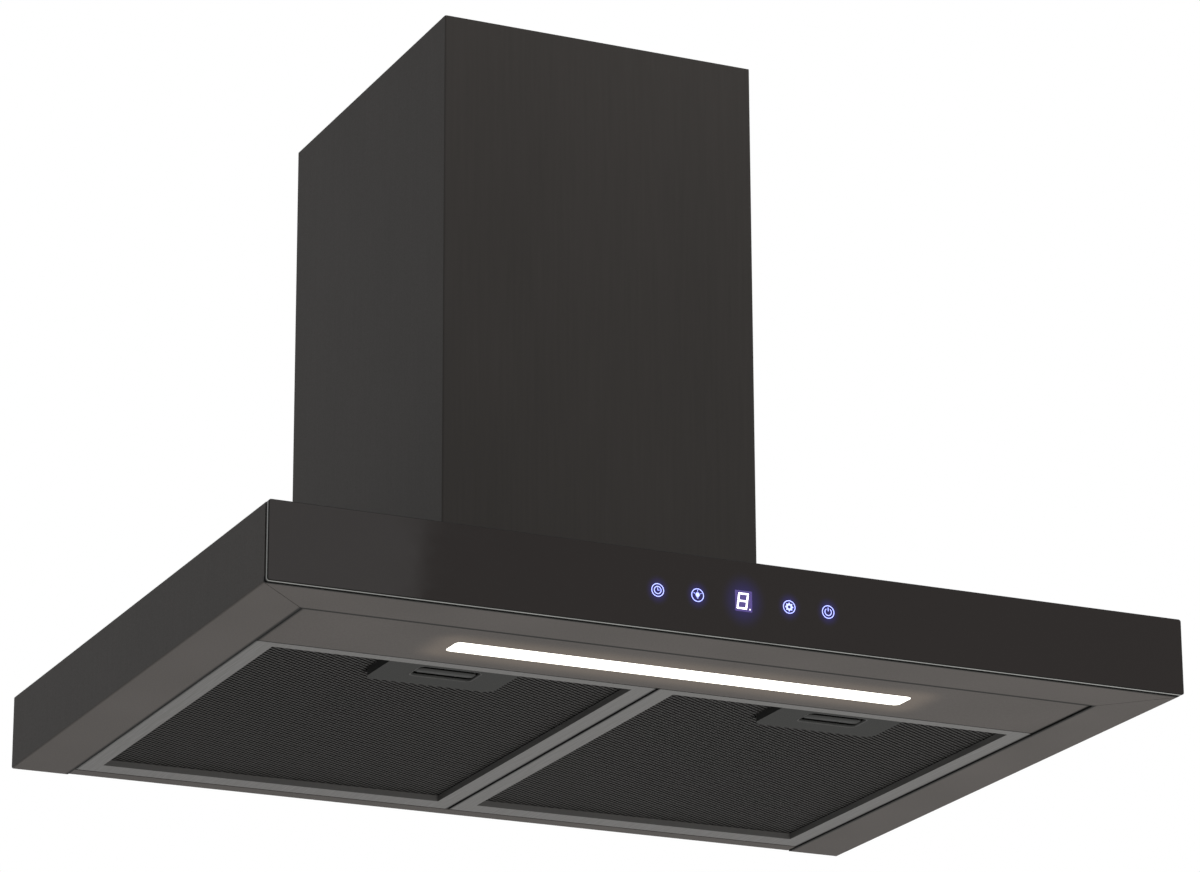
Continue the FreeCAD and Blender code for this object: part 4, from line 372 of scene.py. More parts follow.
def back_painted_glass(painted_glows):
    """Toughened glass, tinted and painted near black behind: a smooth, deep, glossy face. Round
    each touch symbol faint blue light is painted in as emission, for the symbols' light
    scattering in the glass. Each entry of painted_glows is its x, z, reach and strength, and
    its shape is slightly taller than wide."""
    # Its emission colour is the blue of the painted light round the symbols.
    material, tree, surface = new_material(
        "back-painted toughened glass", Base_Color=linear("#140f0d"), Metallic=0.0,
        Roughness=0.04, IOR=1.5, Specular_IOR_Level=0.22, Emission_Color=linear("#5448d8"))
    dust = grain(tree, 0.35, detail=1.0)
    smears = grain(tree, 35, (1, 1, 0.6), detail=3.0)
    feed(surface, Base_Color=ramp(tree, dust, 0.55, 0.75, linear("#140f0d"), linear("#1a1512")),
         Roughness=span(tree, smears, 0.35, 0.75, 0.03, 0.09))
    place = add(tree, "ShaderNodeTexCoord")
    total = 0.0
    for x, z, reach, strength in painted_glows:
        away = add(tree, "ShaderNodeVectorMath",
                   {0: place.outputs["Object"], 1: (x * MM, 0.0, z * MM)}, operation="SUBTRACT")
        flat = add(tree, "ShaderNodeVectorMath", {0: away.outputs[0], 1: (1, 0, 0.85)},
                   operation="MULTIPLY")
        length = add(tree, "ShaderNodeVectorMath", {0: flat.outputs[0]}, operation="LENGTH")
        glow = span(tree, length.outputs["Value"], 0.0, reach * MM, strength, 0.0, "SMOOTHERSTEP")
        total = add(tree, "ShaderNodeMath", {0: total, 1: glow}, operation="ADD").outputs[0]
    feed(surface, Emission_Strength=total)
    return material


def polished_glass_edge():
    """Ground and polished edge of the glass: paler than the face, slightly green-grey, with the
    fine lines that the grinding belt leaves along it."""
    material, tree, surface = new_material(
        "polished glass edge", Metallic=0.0, Roughness=0.16, IOR=1.5, Specular_IOR_Level=0.3)
    lines = grain(tree, 0.5, (60, 1, 60), detail=1.0)
    feed(surface, Base_Color=ramp(tree, lines, 0.35, 0.65, linear("#50514e"), linear("#686965")))
    relief(tree, surface, lines, 0.01, 0.4)
    return material


def arris_paint_and_painted_reflection():
    """Narrow ground bevels and the paint's overlap beside the polished edge: matt near-black
    with a faint grit, which draws a dark line on each side of the edge. The line in front is a
    painted dark reflection of the polished arris; the line behind is the paint's overlap, darkened
    as painted shade."""
    material, tree, surface = new_material(
        "ground and painted arris, painted shade and reflection", Metallic=0.0, Roughness=0.6, IOR=1.5, Specular_IOR_Level=0.1)
    grit = grain(tree, 0.3, detail=1.0)
    feed(surface, Base_Color=ramp(tree, grit, 0.35, 0.65, linear("#0b0a0a"), linear("#151413")))
    return material


def lit_symbol(name, colour, strength):
    """Clear window in the glass's paint with light behind it: slightly uneven."""
    material, tree, surface = new_material(
        name, Base_Color=linear(colour), Metallic=0.0, Roughness=0.2, IOR=1.5,
        Emission_Color=linear(colour))
    uneven = grain(tree, 1.2, detail=1.0)
    feed(surface, Emission_Strength=span(tree, uneven, 0.3, 0.7, strength * 0.85, strength * 1.1))
    return material


def opal_diffuser():
    """Opal acrylic over a row of LEDs: a slightly warm white with a faint unevenness."""
    material, tree, surface = new_material(
        "opal acrylic", Base_Color=linear("#f7f3e8"), Metallic=0.0, Roughness=0.35, IOR=1.49,
        Emission_Color=linear("#fffaf0"))
    feed(surface, Emission_Strength=span(tree, grain(tree, 6, detail=1.0), 0.3, 0.7, 1.05, 1.25))
    return material


def metal(name, light, dark, roughness, streak=(1, 1, 1), grain_mm=0.8, metallic=1.0, gloss=0.5,
          outline=None):
    """Metal sheet: two close tones along the direction in which it was rolled. Shade is painted
    into its colour along the outline given, where a narrow gap begins."""
    material, tree, surface = new_material(name, Metallic=metallic, Roughness=roughness,
                                           Specular_IOR_Level=gloss)
    lines = grain(tree, grain_mm, streak, detail=3.0)
    colour = ramp(tree, lines, 0.3, 0.7, linear(dark), linear(light))
    if outline:
        colour = painted_rim_shade(tree, colour, *outline)
    feed(surface, Base_Color=colour,
         Roughness=span(tree, lines, 0.3, 0.7, roughness * 0.85, roughness * 1.2))
    relief(tree, surface, lines, 0.01, 0.5)
    return material


def galvanised_steel():
    """Hot-dip galvanised sheet: zinc crystals a few millimetres wide, each a slightly different
    grey, under a dull sheen."""
    material, tree, surface = new_material("galvanised steel", Metallic=0.9, Roughness=0.4)
    place = add(tree, "ShaderNodeTexCoord")
    crystals = add(tree, "ShaderNodeTexVoronoi", {"Vector": place.outputs["Object"]},
                   Scale=1 / (7 * MM)).outputs["Color"]
    feed(surface, Base_Color=ramp(tree, crystals, 0.1, 0.9, linear("#8f9294"), linear("#b4b7b8")),
         Roughness=span(tree, crystals, 0.0, 1.0, 0.32, 0.5))
    relief(tree, surface, grain(tree, 0.8), 0.008, 0.4)
    return material


def moulded_plastic(name, base, deep, roughness=0.45, gloss=0.5):
    """Injection-moulded plastic with the fine spark-eroded grain of its mould."""
    material, tree, surface = new_material(name, Metallic=0.0, Roughness=roughness, IOR=1.5,
                                           Specular_IOR_Level=gloss)
    texture = grain(tree, 0.6)
    feed(surface, Base_Color=ramp(tree, texture, 0.3, 0.7, linear(deep), linear(base)),
         Roughness=span(tree, texture, 0.3, 0.7, roughness * 0.9, roughness * 1.15))
    relief(tree, surface, texture, 0.02, 0.5)
    return material


def solder_masked_board():
    """Circuit board: green solder mask over square-cornered copper runs that show as a lighter,
    slightly raised pattern."""
    material, tree, surface = new_material("solder-masked board", Metallic=0.0, Roughness=0.3,
                                           IOR=1.5)
    place = add(tree, "ShaderNodeTexCoord")
    runs = add(tree, "ShaderNodeTexBrick",
               {"Vector": place.outputs["Object"], "Color1": linear("#174a2b"),
                "Color2": linear("#1c5632"), "Mortar": linear("#2f7a49")},
               Scale=1 / (5 * MM), Mortar_Size=0.06, Brick_Width=0.9, Row_Height=0.35)
    feed(surface, Base_Color=runs.outputs["Color"])
    relief(tree, surface, runs.outputs["Fac"], 0.03, 0.6)
    return material


def rubber(name, colour, deep):
    """Moulded rubber: matt black with a soft, slightly dusty bloom."""
    material, tree, surface = new_material(name, Metallic=0.0, Roughness=0.8, IOR=1.52,
                                           Sheen_Weight=0.15)
    bloom = grain(tree, 1.5, detail=3.0)
    feed(surface, Base_Color=ramp(tree, bloom, 0.3, 0.8, linear(deep), linear(colour)))
    relief(tree, surface, bloom, 0.03, 0.4)
    return material


def filter_core_metal():
    """Crumpled expanded foil in the middle of the filter, with small facets. Its colour is
    painted near black for the shade deep inside the filter."""
    material, tree, surface = new_material("layered expanded aluminium", Metallic=0.0,
                                           Roughness=0.8, Specular_IOR_Level=0.0)
    place = add(tree, "ShaderNodeTexCoord")
    mapping = add(tree, "ShaderNodeMapping", {"Vector": place.outputs["Object"]},
                  Scale=(1 / (3.2 * MM), 1 / (2.1 * MM), 1 / (3 * MM)), Rotation=(0, 0, 0.14))
    facets = add(tree, "ShaderNodeTexVoronoi", {"Vector": mapping.outputs["Vector"]},
                 Scale=1.0).outputs["Distance"]
    feed(surface, Base_Color=ramp(tree, facets, 0.25, 0.75, linear("#010101"), linear("#070707")))
    relief(tree, surface, facets, 0.6)
    return material


# ------------------------------------------------------------------ user settings

class HoodSettings(bpy.types.PropertyGroup):
    """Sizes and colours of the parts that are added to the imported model."""
    coat_colour: FloatVectorProperty(
        name="Coat", description="Lighter tone of the powder coat", subtype="COLOR", size=3,
        default=linear("#363331")[:3])
    coat_shade: FloatVectorProperty(
        name="Coat shade", description="Darker tone of the powder coat", subtype="COLOR", size=3,
        default=linear("#2a2826")[:3])
    mesh_long: FloatProperty(
        name="Mesh length", description="Long way of one mesh opening, in millimetres",
        default=6.06, min=2)
    mesh_short: FloatProperty(
        name="Mesh height", description="Short way of one mesh opening, in millimetres",
        default=3.82, min=1)
    strand: FloatProperty(
        name="Strand", description="Width of a mesh strand, in millimetres", default=0.85, min=0.2)
    ring_radius: FloatProperty(
        name="Ring radius", description="Radius of a touch symbol's ring, in millimetres",
        default=3.85, min=1)
    line_width: FloatProperty(
        name="Line width", description="Width of a touch symbol's lines, in millimetres",
        default=0.5, min=0.1)
    floor_drop: FloatProperty(
        name="Floor drop", description="Height of the canopy above the floor", default=2.4,
        unit="LENGTH")
    floor_tint: FloatVectorProperty(
        name="Floor", description="Colour of the floor", subtype="COLOR", size=3,
        default=(0.92, 0.92, 0.92))


def settings():
    return bpy.context.scene.hood_settings


# ------------------------------------------------------------------ operators

class HOOD_OT_glass(bpy.types.Operator):
    """Glass front with rounded corners, ground edges and a painted back"""
    bl_idname = "hood.glass"
    bl_label = "Glass front"

    def execute(self, context):
        low, high = box_mm("front_glass")
        half_x, _, half_z = (high - low) / 2
        middle = (0, (high[2] + low[2]) / 2)
        rear = high[1]
        rows = ((rear, 0.3, 1.2), (rear - 0.3, 0.0, 1.5), (rear - 1.5, 0.0, 1.5),
                (FACE_Y + 1.1, 0.0, 1.5), (FACE_Y + GLASS_ARRIS, 0.0, 1.5), (FACE_Y, 0.45, 1.1))
        loops = [np.insert(rounded_loop(half_x - inset, half_z - inset, radius) + middle, 1, y, 1)
                 for y, inset, radius in rows]
        face, edge, arris = 0, 1, 2
        # Slot 2 darkens the bands on each side of the polished band: behind, the paint's overlap
        # drawn near-black as painted shade; in front, a painted dark reflection.
        sides = np.repeat([arris, arris, edge, arris, arris], len(loops[0])).tolist()
        # Painted light round each symbol and a wider patch round the digit: x, z, reach, strength.
        painted_glows = [(x + PRINT_SHIFT, SYMBOL_HEIGHT, 9.0, 0.16) for _, x in SYMBOL_PLACES]
        painted_glows.append((PRINT_SHIFT, SYMBOL_HEIGHT, 17.0, 0.12))
        shape("glass_pane", stacked(loops),
              [back_painted_glass(painted_glows), polished_glass_edge(), arris_paint_and_painted_reflection()],
              replaces=["front_glass"], index=sides + [face, face], smooth=30)
        return {"FINISHED"}


class HOOD_OT_symbols(bpy.types.Operator):
    """Ringed touch symbols and the lit digit behind the glass"""
    bl_idname = "hood.symbols"
    bl_label = "Touch symbols"

    def execute(self, context):
        radius, line = settings().ring_radius, settings().line_width
        z = SYMBOL_HEIGHT
        parts = []
        for name, place in SYMBOL_PLACES:
            x = place + PRINT_SHIFT
            parts.append(band(circle_path(x, z, radius, count=48), line, True))
            parts += getattr(self, name)(x, z, line)
        shape("touch_symbols", gather(parts), [lit_symbol("lit symbol window", "#9fa8ff", 1.0)])
        self.digit(z)
        return {"FINISHED"}

    def timer(self, x, z, line):
        """Inner ring with two hands."""
        return [band(circle_path(x, z, 2.2), line, True),
                band([(x, z + 1.5), (x, z)], line * 0.8),
                band([(x - 0.2, z), (x + 1.2, z)], line * 0.8)]

    def lamp(self, x, z, line):
        """Filled bulb on a short cap, with three rays."""
        bulb = circle_path(x, z + 0.35, 1.35, -50, 230, 24)
        neck = np.array([(x - 0.55, z - 1.25), (x + 0.55, z - 1.25)])
        parts = [slab(np.concatenate([bulb, neck])),
                 band([(x - 0.5, z - 1.75), (x + 0.5, z - 1.75)], line * 0.8)]
        for angle in np.radians((20, 90, 160)):
            way = np.array([math.cos(angle), math.sin(angle)])
            start = np.array([x, z + 0.35]) + way * 1.85
            parts.append(band([start, start + way * 0.9], line * 0.7))
        return parts

    def fan(self, x, z, line):
        """Eight-lobed rosette round an open middle: the radius of its rim follows a cosine."""
        angle = np.linspace(0, 2 * math.pi, 96, endpoint=False)
        way = np.stack([np.cos(angle), np.sin(angle)], -1)
        rim, middle = (2.35 + 0.38 * np.cos(8 * angle))[:, None] * way, 0.95 * way
        corners = ((rim, PRINT_LOW), (middle, PRINT_LOW), (middle, PRINT_HIGH), (rim, PRINT_HIGH))
        return [ring([np.insert(loop + (x, z), 1, y, 1) for loop, y in corners])]

    def power(self, x, z, line):
        """Open ring with a bar in its gap."""
        return [band(circle_path(x, z, 2.15, 125, 415), line),
                band([(x, z + 2.7), (x, z + 0.5)], line)]

    def digit(self, z):
        """Seven slanted segments and a point, on a dim rectangular window."""
        window = rounded_loop(5.6, 6.4, 0.4, 4) + (PRINT_SHIFT, z)
        shape("display_window", slab(window, PRINT_LOW + 0.04),
              [lit_symbol("dim display window", "#35285f", 0.75)])
        slant, half_w, half_h, line = 0.14, 2.9, 4.5, 1.1
        gap = 0.62

        def leaning(x, y):
            return x - 0.6 + PRINT_SHIFT + slant * y, z + y

        runs = [((-half_w + gap, y), (half_w - gap, y)) for y in (-half_h, 0.0, half_h)]
        runs += [((x, low + gap), (x, low + half_h - gap))
                 for x in (-half_w, half_w) for low in (-half_h, 0.0)]
        parts = [band([leaning(*end) for end in run], line) for run in runs]
        parts += [slab(circle_path(*leaning(x, y), line / 2, count=12))
                  for x in (-half_w, half_w) for y in (-half_h, 0.0, half_h)]
        parts.append(slab(circle_path(4.1 + PRINT_SHIFT, z - 4.8, 0.45, count=12)))
        shape("display_digit", gather(parts), [lit_symbol("lit digit", "#f4f0ff", 1.5)])


class HOOD_OT_canopy(bpy.types.Operator):
    """Coated canopy, its panels, the tape behind the glass and the touch board's parts"""
    bl_idname = "hood.canopy"
    bl_label = "Canopy"

    def execute(self, context):
        light, dark = (*settings().coat_colour, 1.0), (*settings().coat_shade, 1.0)
        dress(powder_coated_steel("charcoal powder coat", light, dark),
              "rear_panel", "lower_chimney", "upper_chimney")
        low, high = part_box("lamp_panel")
        # Outlines for painted shade: round the lamp panel's sides and front, round the canopy's
        # opening and along the flange's front edge. The lamp panel also gets painted light from the
        # strip.
        gap = 0.7 * MM
        opening = (low.x - gap, low.y - gap), (high.x + gap, 0.2)
        panel = tuple(low[:2]), (high.x, high.y + 5 * MM)
        dress(powder_coated_steel("charcoal powder coat, painted lamp glow", light, dark, (panel,), True),
              "lamp_panel")
        low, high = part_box("canopy_shell")
        aside = 20 * MM
        front_edge = (low.x - aside, low.y), (high.x + aside, high.y + aside)
        dress(powder_coated_steel("charcoal powder coat, canopy", light, dark,
                                  (opening, front_edge)), "canopy_shell")
        dress(rubber("closed-cell foam tape", "#161616", "#0c0c0c"), "glass_tape")
        dress(solder_masked_board(), "touch_board", "power_board")
        dress(moulded_plastic("black display case", "#1a1a1c", "#121214"), "display_module")
        dress(moulded_plastic("grey polyamide", "#4b4b49", "#424240"), "touch_board_clips")
        return {"FINISHED"}


class HOOD_OT_springs(bpy.types.Operator):
    """Coiled sensing springs behind the touch symbols"""
    bl_idname = "hood.springs"
    bl_label = "Sensing springs"

    def execute(self, context):
        low, high = box_mm("touch_springs")
        wire = 0.25
        reach = (high[2] - low[2]) / 2
        z = (high[2] + low[2]) / 2
        parts = [self.helix(np.clip(x, low[0] + reach, high[0] - reach), z, low[1] + wire,
                            high[1] - wire, reach - wire, wire) for _, x in SYMBOL_PLACES]
        shape("touch_spring_coils", gather(parts),
              [metal("tinned spring steel", "#c9c9c4", "#a8a8a2", 0.25)],
              replaces=["touch_springs"], smooth=60)
        return {"FINISHED"}

    def helix(self, x, z, low, high, coil, wire, turns=3.5, sides=6, steps=64):
        """A round wire carried along a helix about a line parallel to Y."""
        t = np.linspace(0, turns * 2 * math.pi, steps)[:, None]
        section = np.linspace(0, 2 * math.pi, sides, endpoint=False)[None, :]
        radius = coil + wire * np.cos(section)
        y = low + (high - low) * t / t.max() + wire * np.sin(section)
        return stacked(np.stack([x + radius * np.cos(t), y, z + radius * np.sin(t)], -1))


class HOOD_OT_lamp(bpy.types.Operator):
    """Light strip: lens, LEDs, board, holder, power supply, brackets and nuts"""
    bl_idname = "hood.lamp"
    bl_label = "Light strip"

    def execute(self, context):
        dress(opal_diffuser(), "lamp_lens")
        dress(lit_symbol("phosphor LED", "#fff3c8", 1.4), "leds")
        dress(moulded_plastic("white board coat", "#e2e2dd", "#d6d6d0", 0.4), "led_board")
        dress(metal("extruded aluminium", "#c3c4c5", "#a9abac", 0.32, (40, 1, 1)), "led_holder")
        dress(galvanised_steel(), "lamp_brackets")
        dress(metal("zinc-plated steel", "#c9c8c2", "#aeada6", 0.3), "lamp_nuts")
        dress(moulded_plastic("white polycarbonate", "#dcdcd8", "#cfcfca", 0.4), "led_driver")
        return {"FINISHED"}


class HOOD_OT_filters(bpy.types.Operator):
    """Grease filters: pressed frames, expanded mesh on both faces and a dark core"""
    bl_idname = "hood.filters"
    bl_label = "Grease filters"

    def execute(self, context):
        strand_metal = metal("black-coated expanded aluminium", "#2b2a29", "#131312", 0.5,
                             metallic=0.0, gloss=0.1)
        dress(filter_core_metal(), "filter_core_left", "filter_core_right")
        long_way, short_way, strand = (settings().mesh_long, settings().mesh_short,
                                       settings().strand)
        for side in SIDES:
            low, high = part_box("filter_frame_" + side)
            # Painted shade along the frame's sides and rear; the rectangle reaches past its front,
            # which stays unshaded.
            outline = ((low.x, low.y - 5 * MM), tuple(high[:2]), 1.5, 0.95)
            dress(metal("satin pressed aluminium " + side, "#464543", "#3e3d3c", 0.5, (1, 30, 1),
                        0.9, metallic=0.25, outline=outline), "filter_frame_" + side)
            self.mesh(side, "face", long_way, short_way, strand, strand_metal, -1)
            self.mesh(side, "back", long_way * 1.5, short_way * 1.5, strand * 1.4, strand_metal, 1)
        return {"FINISHED"}

    def mesh(self, side, layer, long_way, short_way, strand, material, turn):
        """Expanded metal: a slit and stretched sheet. Its openings are diamonds on a staggered
        grid, and each strand is twisted, so that the two points of an opening across the short
        way stand above and below the sheet. The strands of one slant show wider than the
        others. Openings that would reach into the handle's notch are left out."""
        node = f"filter_{layer}_mesh_{side}"
        low, high = box_mm(node)
        handle_low, handle_high = box_mm("filter_handle_" + side)
        twist, thick, other_share = 0.08, 0.16, 0.45
        notch_side, notch_rear = 1.6, 1.0
        i = np.arange(0, int((high[0] - low[0]) / long_way * 2) + 1)
        j = np.arange(0, int((high[1] - low[1]) / short_way * 2) + 1)
        i, j = (a.ravel() for a in np.meshgrid(i, j))
        even = (i + j) % 2 == 0
        x = low[0] + i[even] * long_way / 2
        y = low[1] + j[even] * short_way / 2
        inside = ((x - long_way / 2 >= low[0]) & (x + long_way / 2 <= high[0])
                  & (y - short_way / 2 >= low[1]) & (y + short_way / 2 <= high[1]))
        notch = ((x + long_way / 2 > handle_low[0] + notch_side)
                 & (x - long_way / 2 < handle_high[0] - notch_side)
                 & (y - short_way / 2 < handle_high[1] - notch_rear))
        keep = inside & ~notch
        x, y = x[keep], y[keep]
        across = long_way * short_way / 2 / math.hypot(long_way, short_way)
        one, other = np.array([(long_way / 2, short_way / 2), (-long_way / 2, short_way / 2)]) / 2
        wide, narrow = 1 - strand / 2 / across, 1 - strand * other_share / 2 / across
        lift = np.array([0, -1, 0, 1]) * twist * turn
        middle_z = (low[2] + high[2]) / 2
        layers = []
        for part in (-1, 1):
            for along, beside, raised in ((1, 1, 0 * lift), (narrow, wide, lift)):
                right, top = along * one - beside * other, along * one + beside * other
                ring = np.array([right, top, -right, -top])
                corner = np.stack([x[:, None] + ring[:, 0], y[:, None] + ring[:, 1],
                                   middle_z + part * thick / 2 + raised + 0 * x[:, None]], -1)
                layers.append(corner)
        points = np.stack(layers, 1).reshape(-1, 3)
        cell = (np.arange(len(x)) * 16)[:, None, None]
        a = np.arange(4)
        b = (a + 1) % 4
        lower = np.stack([a, a + 4, b + 4, b], -1)
        upper = np.stack([a + 8, b + 8, b + 12, a + 12], -1)
        wall = np.stack([a + 4, a + 12, b + 12, b + 4], -1)
        faces = (np.concatenate([lower, upper, wall])[None] + cell).reshape(-1, 4)
        ring_number = (np.arange(len(x)) * 16)[:, None] + a
        points, number = np.unique(np.round(points, 3), axis=0, return_inverse=True)
        number = number.reshape(-1)
        faces = np.concatenate([number[faces], self.rim(number, ring_number, len(points))])
        shape(f"expanded_mesh_{layer}_{side}", (points, faces.tolist()), [material],
              replaces=[node], body="filter_" + side)

    def rim(self, number, ring, count):
        """Walls along the sheet's border: a lower edge of a cell that no other cell shares is
        joined to the edge straight above it, which is eight numbers on in the same cell."""
        above = np.zeros(count, int)
        above[number[ring]] = number[ring + 8]
        low = number[ring]
        edges = np.stack([low, np.roll(low, -1, 1)], -1).reshape(-1, 2)
        _, first, uses = np.unique(np.sort(edges, 1), axis=0, return_index=True, return_counts=True)
        lone = edges[first[uses == 1]]
        return np.stack([lone[:, 1], lone[:, 0], above[lone[:, 0]], above[lone[:, 1]]], -1)


class HOOD_OT_latches(bpy.types.Operator):
    """Handle housings with a rounded slot rim, latch sliders and leaf springs"""
    bl_idname = "hood.latches"
    bl_label = "Filter latches"

    def execute(self, context):
        # The slider's plastic is a little darker than the handle's: painted shade of its recess.
        slider = moulded_plastic("smooth polyamide", "#1d1d1c", "#161615", 0.5, gloss=0.15)
        # Painted shade: matt near-black with no gloss on the thumb bar's ribbed front.
        grip = moulded_plastic("soft grip", "#050505", "#020202", 0.9, gloss=0.0)
        rim = moulded_plastic("slot rim", "#2e2e2d", "#252524", 0.5, gloss=0.1)
        dress(moulded_plastic("grained polyamide", "#20201f", "#191918", 0.65, gloss=0.12),
              "filter_handle_left", "filter_handle_right")
        dress(metal("spring steel", "#a9a9a4", "#8c8c86", 0.28, (1, 1, 20)),
              "latch_spring_left", "latch_spring_right")
        for side in SIDES:
            self.slider(side, slider, grip)
            self.rim(side, rim)
        return {"FINISHED"}

    def slider(self, side, plastic, grip):
        """Plate with a thumb bar below it and a nose in front. The bar is a rounded rectangle
        that narrows at its lower end; its front, where the finger pulls, carries ribs whose depth
        is a cosine across the bar, in a matt near-black that is painted shade of the slot's front
        gap."""
        low, high = box_mm("filter_latch_" + side)
        middle = (low[0] + high[0]) / 2
        rear = high[1] - BAR_REAR_GAP
        front = rear - BAR_DEPTH
        plate_low = high[2] - 1.6
        plate = self.block(middle, (front + high[1]) / 2, 17, (high[1] - front) / 2, 1.0,
                           ((plate_low, 0), (high[2], 0)))
        nose = self.block(middle, (low[1] + front) / 2 + 0.5, 7, (front - low[1]) / 2 + 0.5, 0.4,
                          ((plate_low, 0), (high[2] - 1.0, 0), (high[2], 0.9)))
        bar = self.block(middle, (front + rear) / 2, 19, BAR_DEPTH / 2, 3,
                         ((low[2] - 0.2, 0.5), (low[2] + 0.05, 0.12), (low[2] + 0.4, 0),
                          (plate_low, 0)))
        shape("latch_slider_" + side, gather([plate, nose, bar]), [plastic],
              replaces=["filter_latch_" + side], body="latch_" + side,
              smooth=35)
        across = np.linspace(-GRIP_HALF_WIDTH, GRIP_HALF_WIDTH, 6 * GRIP_RIBS + 1)
        depth = 0.35 + 0.2 * np.cos(across / GRIP_HALF_WIDTH * math.pi * GRIP_RIBS)
        rows = []
        for height, out in ((low[2] + 0.2, 0.1), (low[2] + 0.45, 1.0), (plate_low - 0.2, 1.0)):
            outer = np.stack([middle + across, front - depth * out], -1)
            inner = np.stack([middle + across[::-1], np.full(len(across), front + 0.2)], -1)
            rows.append(np.insert(np.concatenate([outer, inner]), 2, height, 1))
        shape("latch_grip_" + side, stacked(rows), [grip], body="latch_" + side)

    def block(self, x, y, half_x, half_y, radius, levels):
        """Rounded rectangles round (x, y), one for each (height, inset)."""
        rows = []
        for z, inset in levels:
            loop = rounded_loop(half_x - inset, half_y - inset, max(radius - inset, 0.1))
            rows.append(np.insert(loop + (x, y), 2, z, 1))
        return stacked(rows)

    def rim(self, side, plastic):
        """Turned-in lip round the finger slot: a short curve from the plate into the slot,
        carried along the slot's rounded outline. Its profile is (outwards, up)."""
        low, high = box_mm("filter_handle_" + side)
        middle = ((low[0] + high[0]) / 2, low[1] + SLOT_FROM_FRONT + SLOT_HALF_DEPTH)
        rows = []
        for out, up in ((0.5, 0.1), (0.45, -0.04), (0.0, -0.06), (-0.35, 0.12), (-0.55, 0.6),
                        (-0.6, 1.5), (0.2, 1.5)):
            loop = rounded_loop(SLOT_HALF_WIDTH + out, SLOT_HALF_DEPTH + out, 4 + out, 10)
            rows.append(np.insert(loop + middle, 2, low[2] + up, 1))
        shape("finger_slot_rim_" + side, ring(rows), [plastic], body="filter_" + side,
              smooth=50)


class HOOD_OT_electrics(bpy.types.Operator):
    """Control box, its lid and the terminals"""
    bl_idname = "hood.electrics"
    bl_label = "Electrics"

    def execute(self, context):
        dress(moulded_plastic("flame-retardant plastic", "#4a4a48", "#40403e", 0.5),
              "control_box", "control_lid")
        dress(moulded_plastic("natural polyamide", "#d8d5c8", "#c9c6b8"), "terminal_block")
        return {"FINISHED"}


class HOOD_OT_blower(bpy.types.Operator):
    """Blower box, volute, wheel, motor, outlet and the chimney's bracket"""
    bl_idname = "hood.blower"
    bl_label = "Blower"

    def execute(self, context):
        dress(galvanised_steel(), "blower_box", "box_front", "box_cover", "motor_bracket",
              "chimney_bracket")
        dress(moulded_plastic("black polypropylene", "#262627", "#1c1c1d"), "inlet_grille",
              "volute_left", "volute_right", "outlet_spigot", "cable_gland", "gland_nut")
        dress(moulded_plastic("grey polypropylene", "#565655", "#4b4b4a", 0.42), "blower_wheel",
              "damper_flap_front", "damper_flap_rear")
        dress(metal("bright steel", "#c4c4c0", "#a9a9a4", 0.22, (1, 1, 20)), "motor_shaft",
              "flap_pin", "wheel_nut")
        dress(metal("painted motor can", "#6e7173", "#5c5f61", 0.4, metallic=0.3), "motor")
        dress(rubber("moulded rubber", "#1b1b1b", "#111111"), "motor_mounts")
        dress(moulded_plastic("white polypropylene", "#d9d9d6", "#cbcbc7", 0.4), "capacitor")
        return {"FINISHED"}


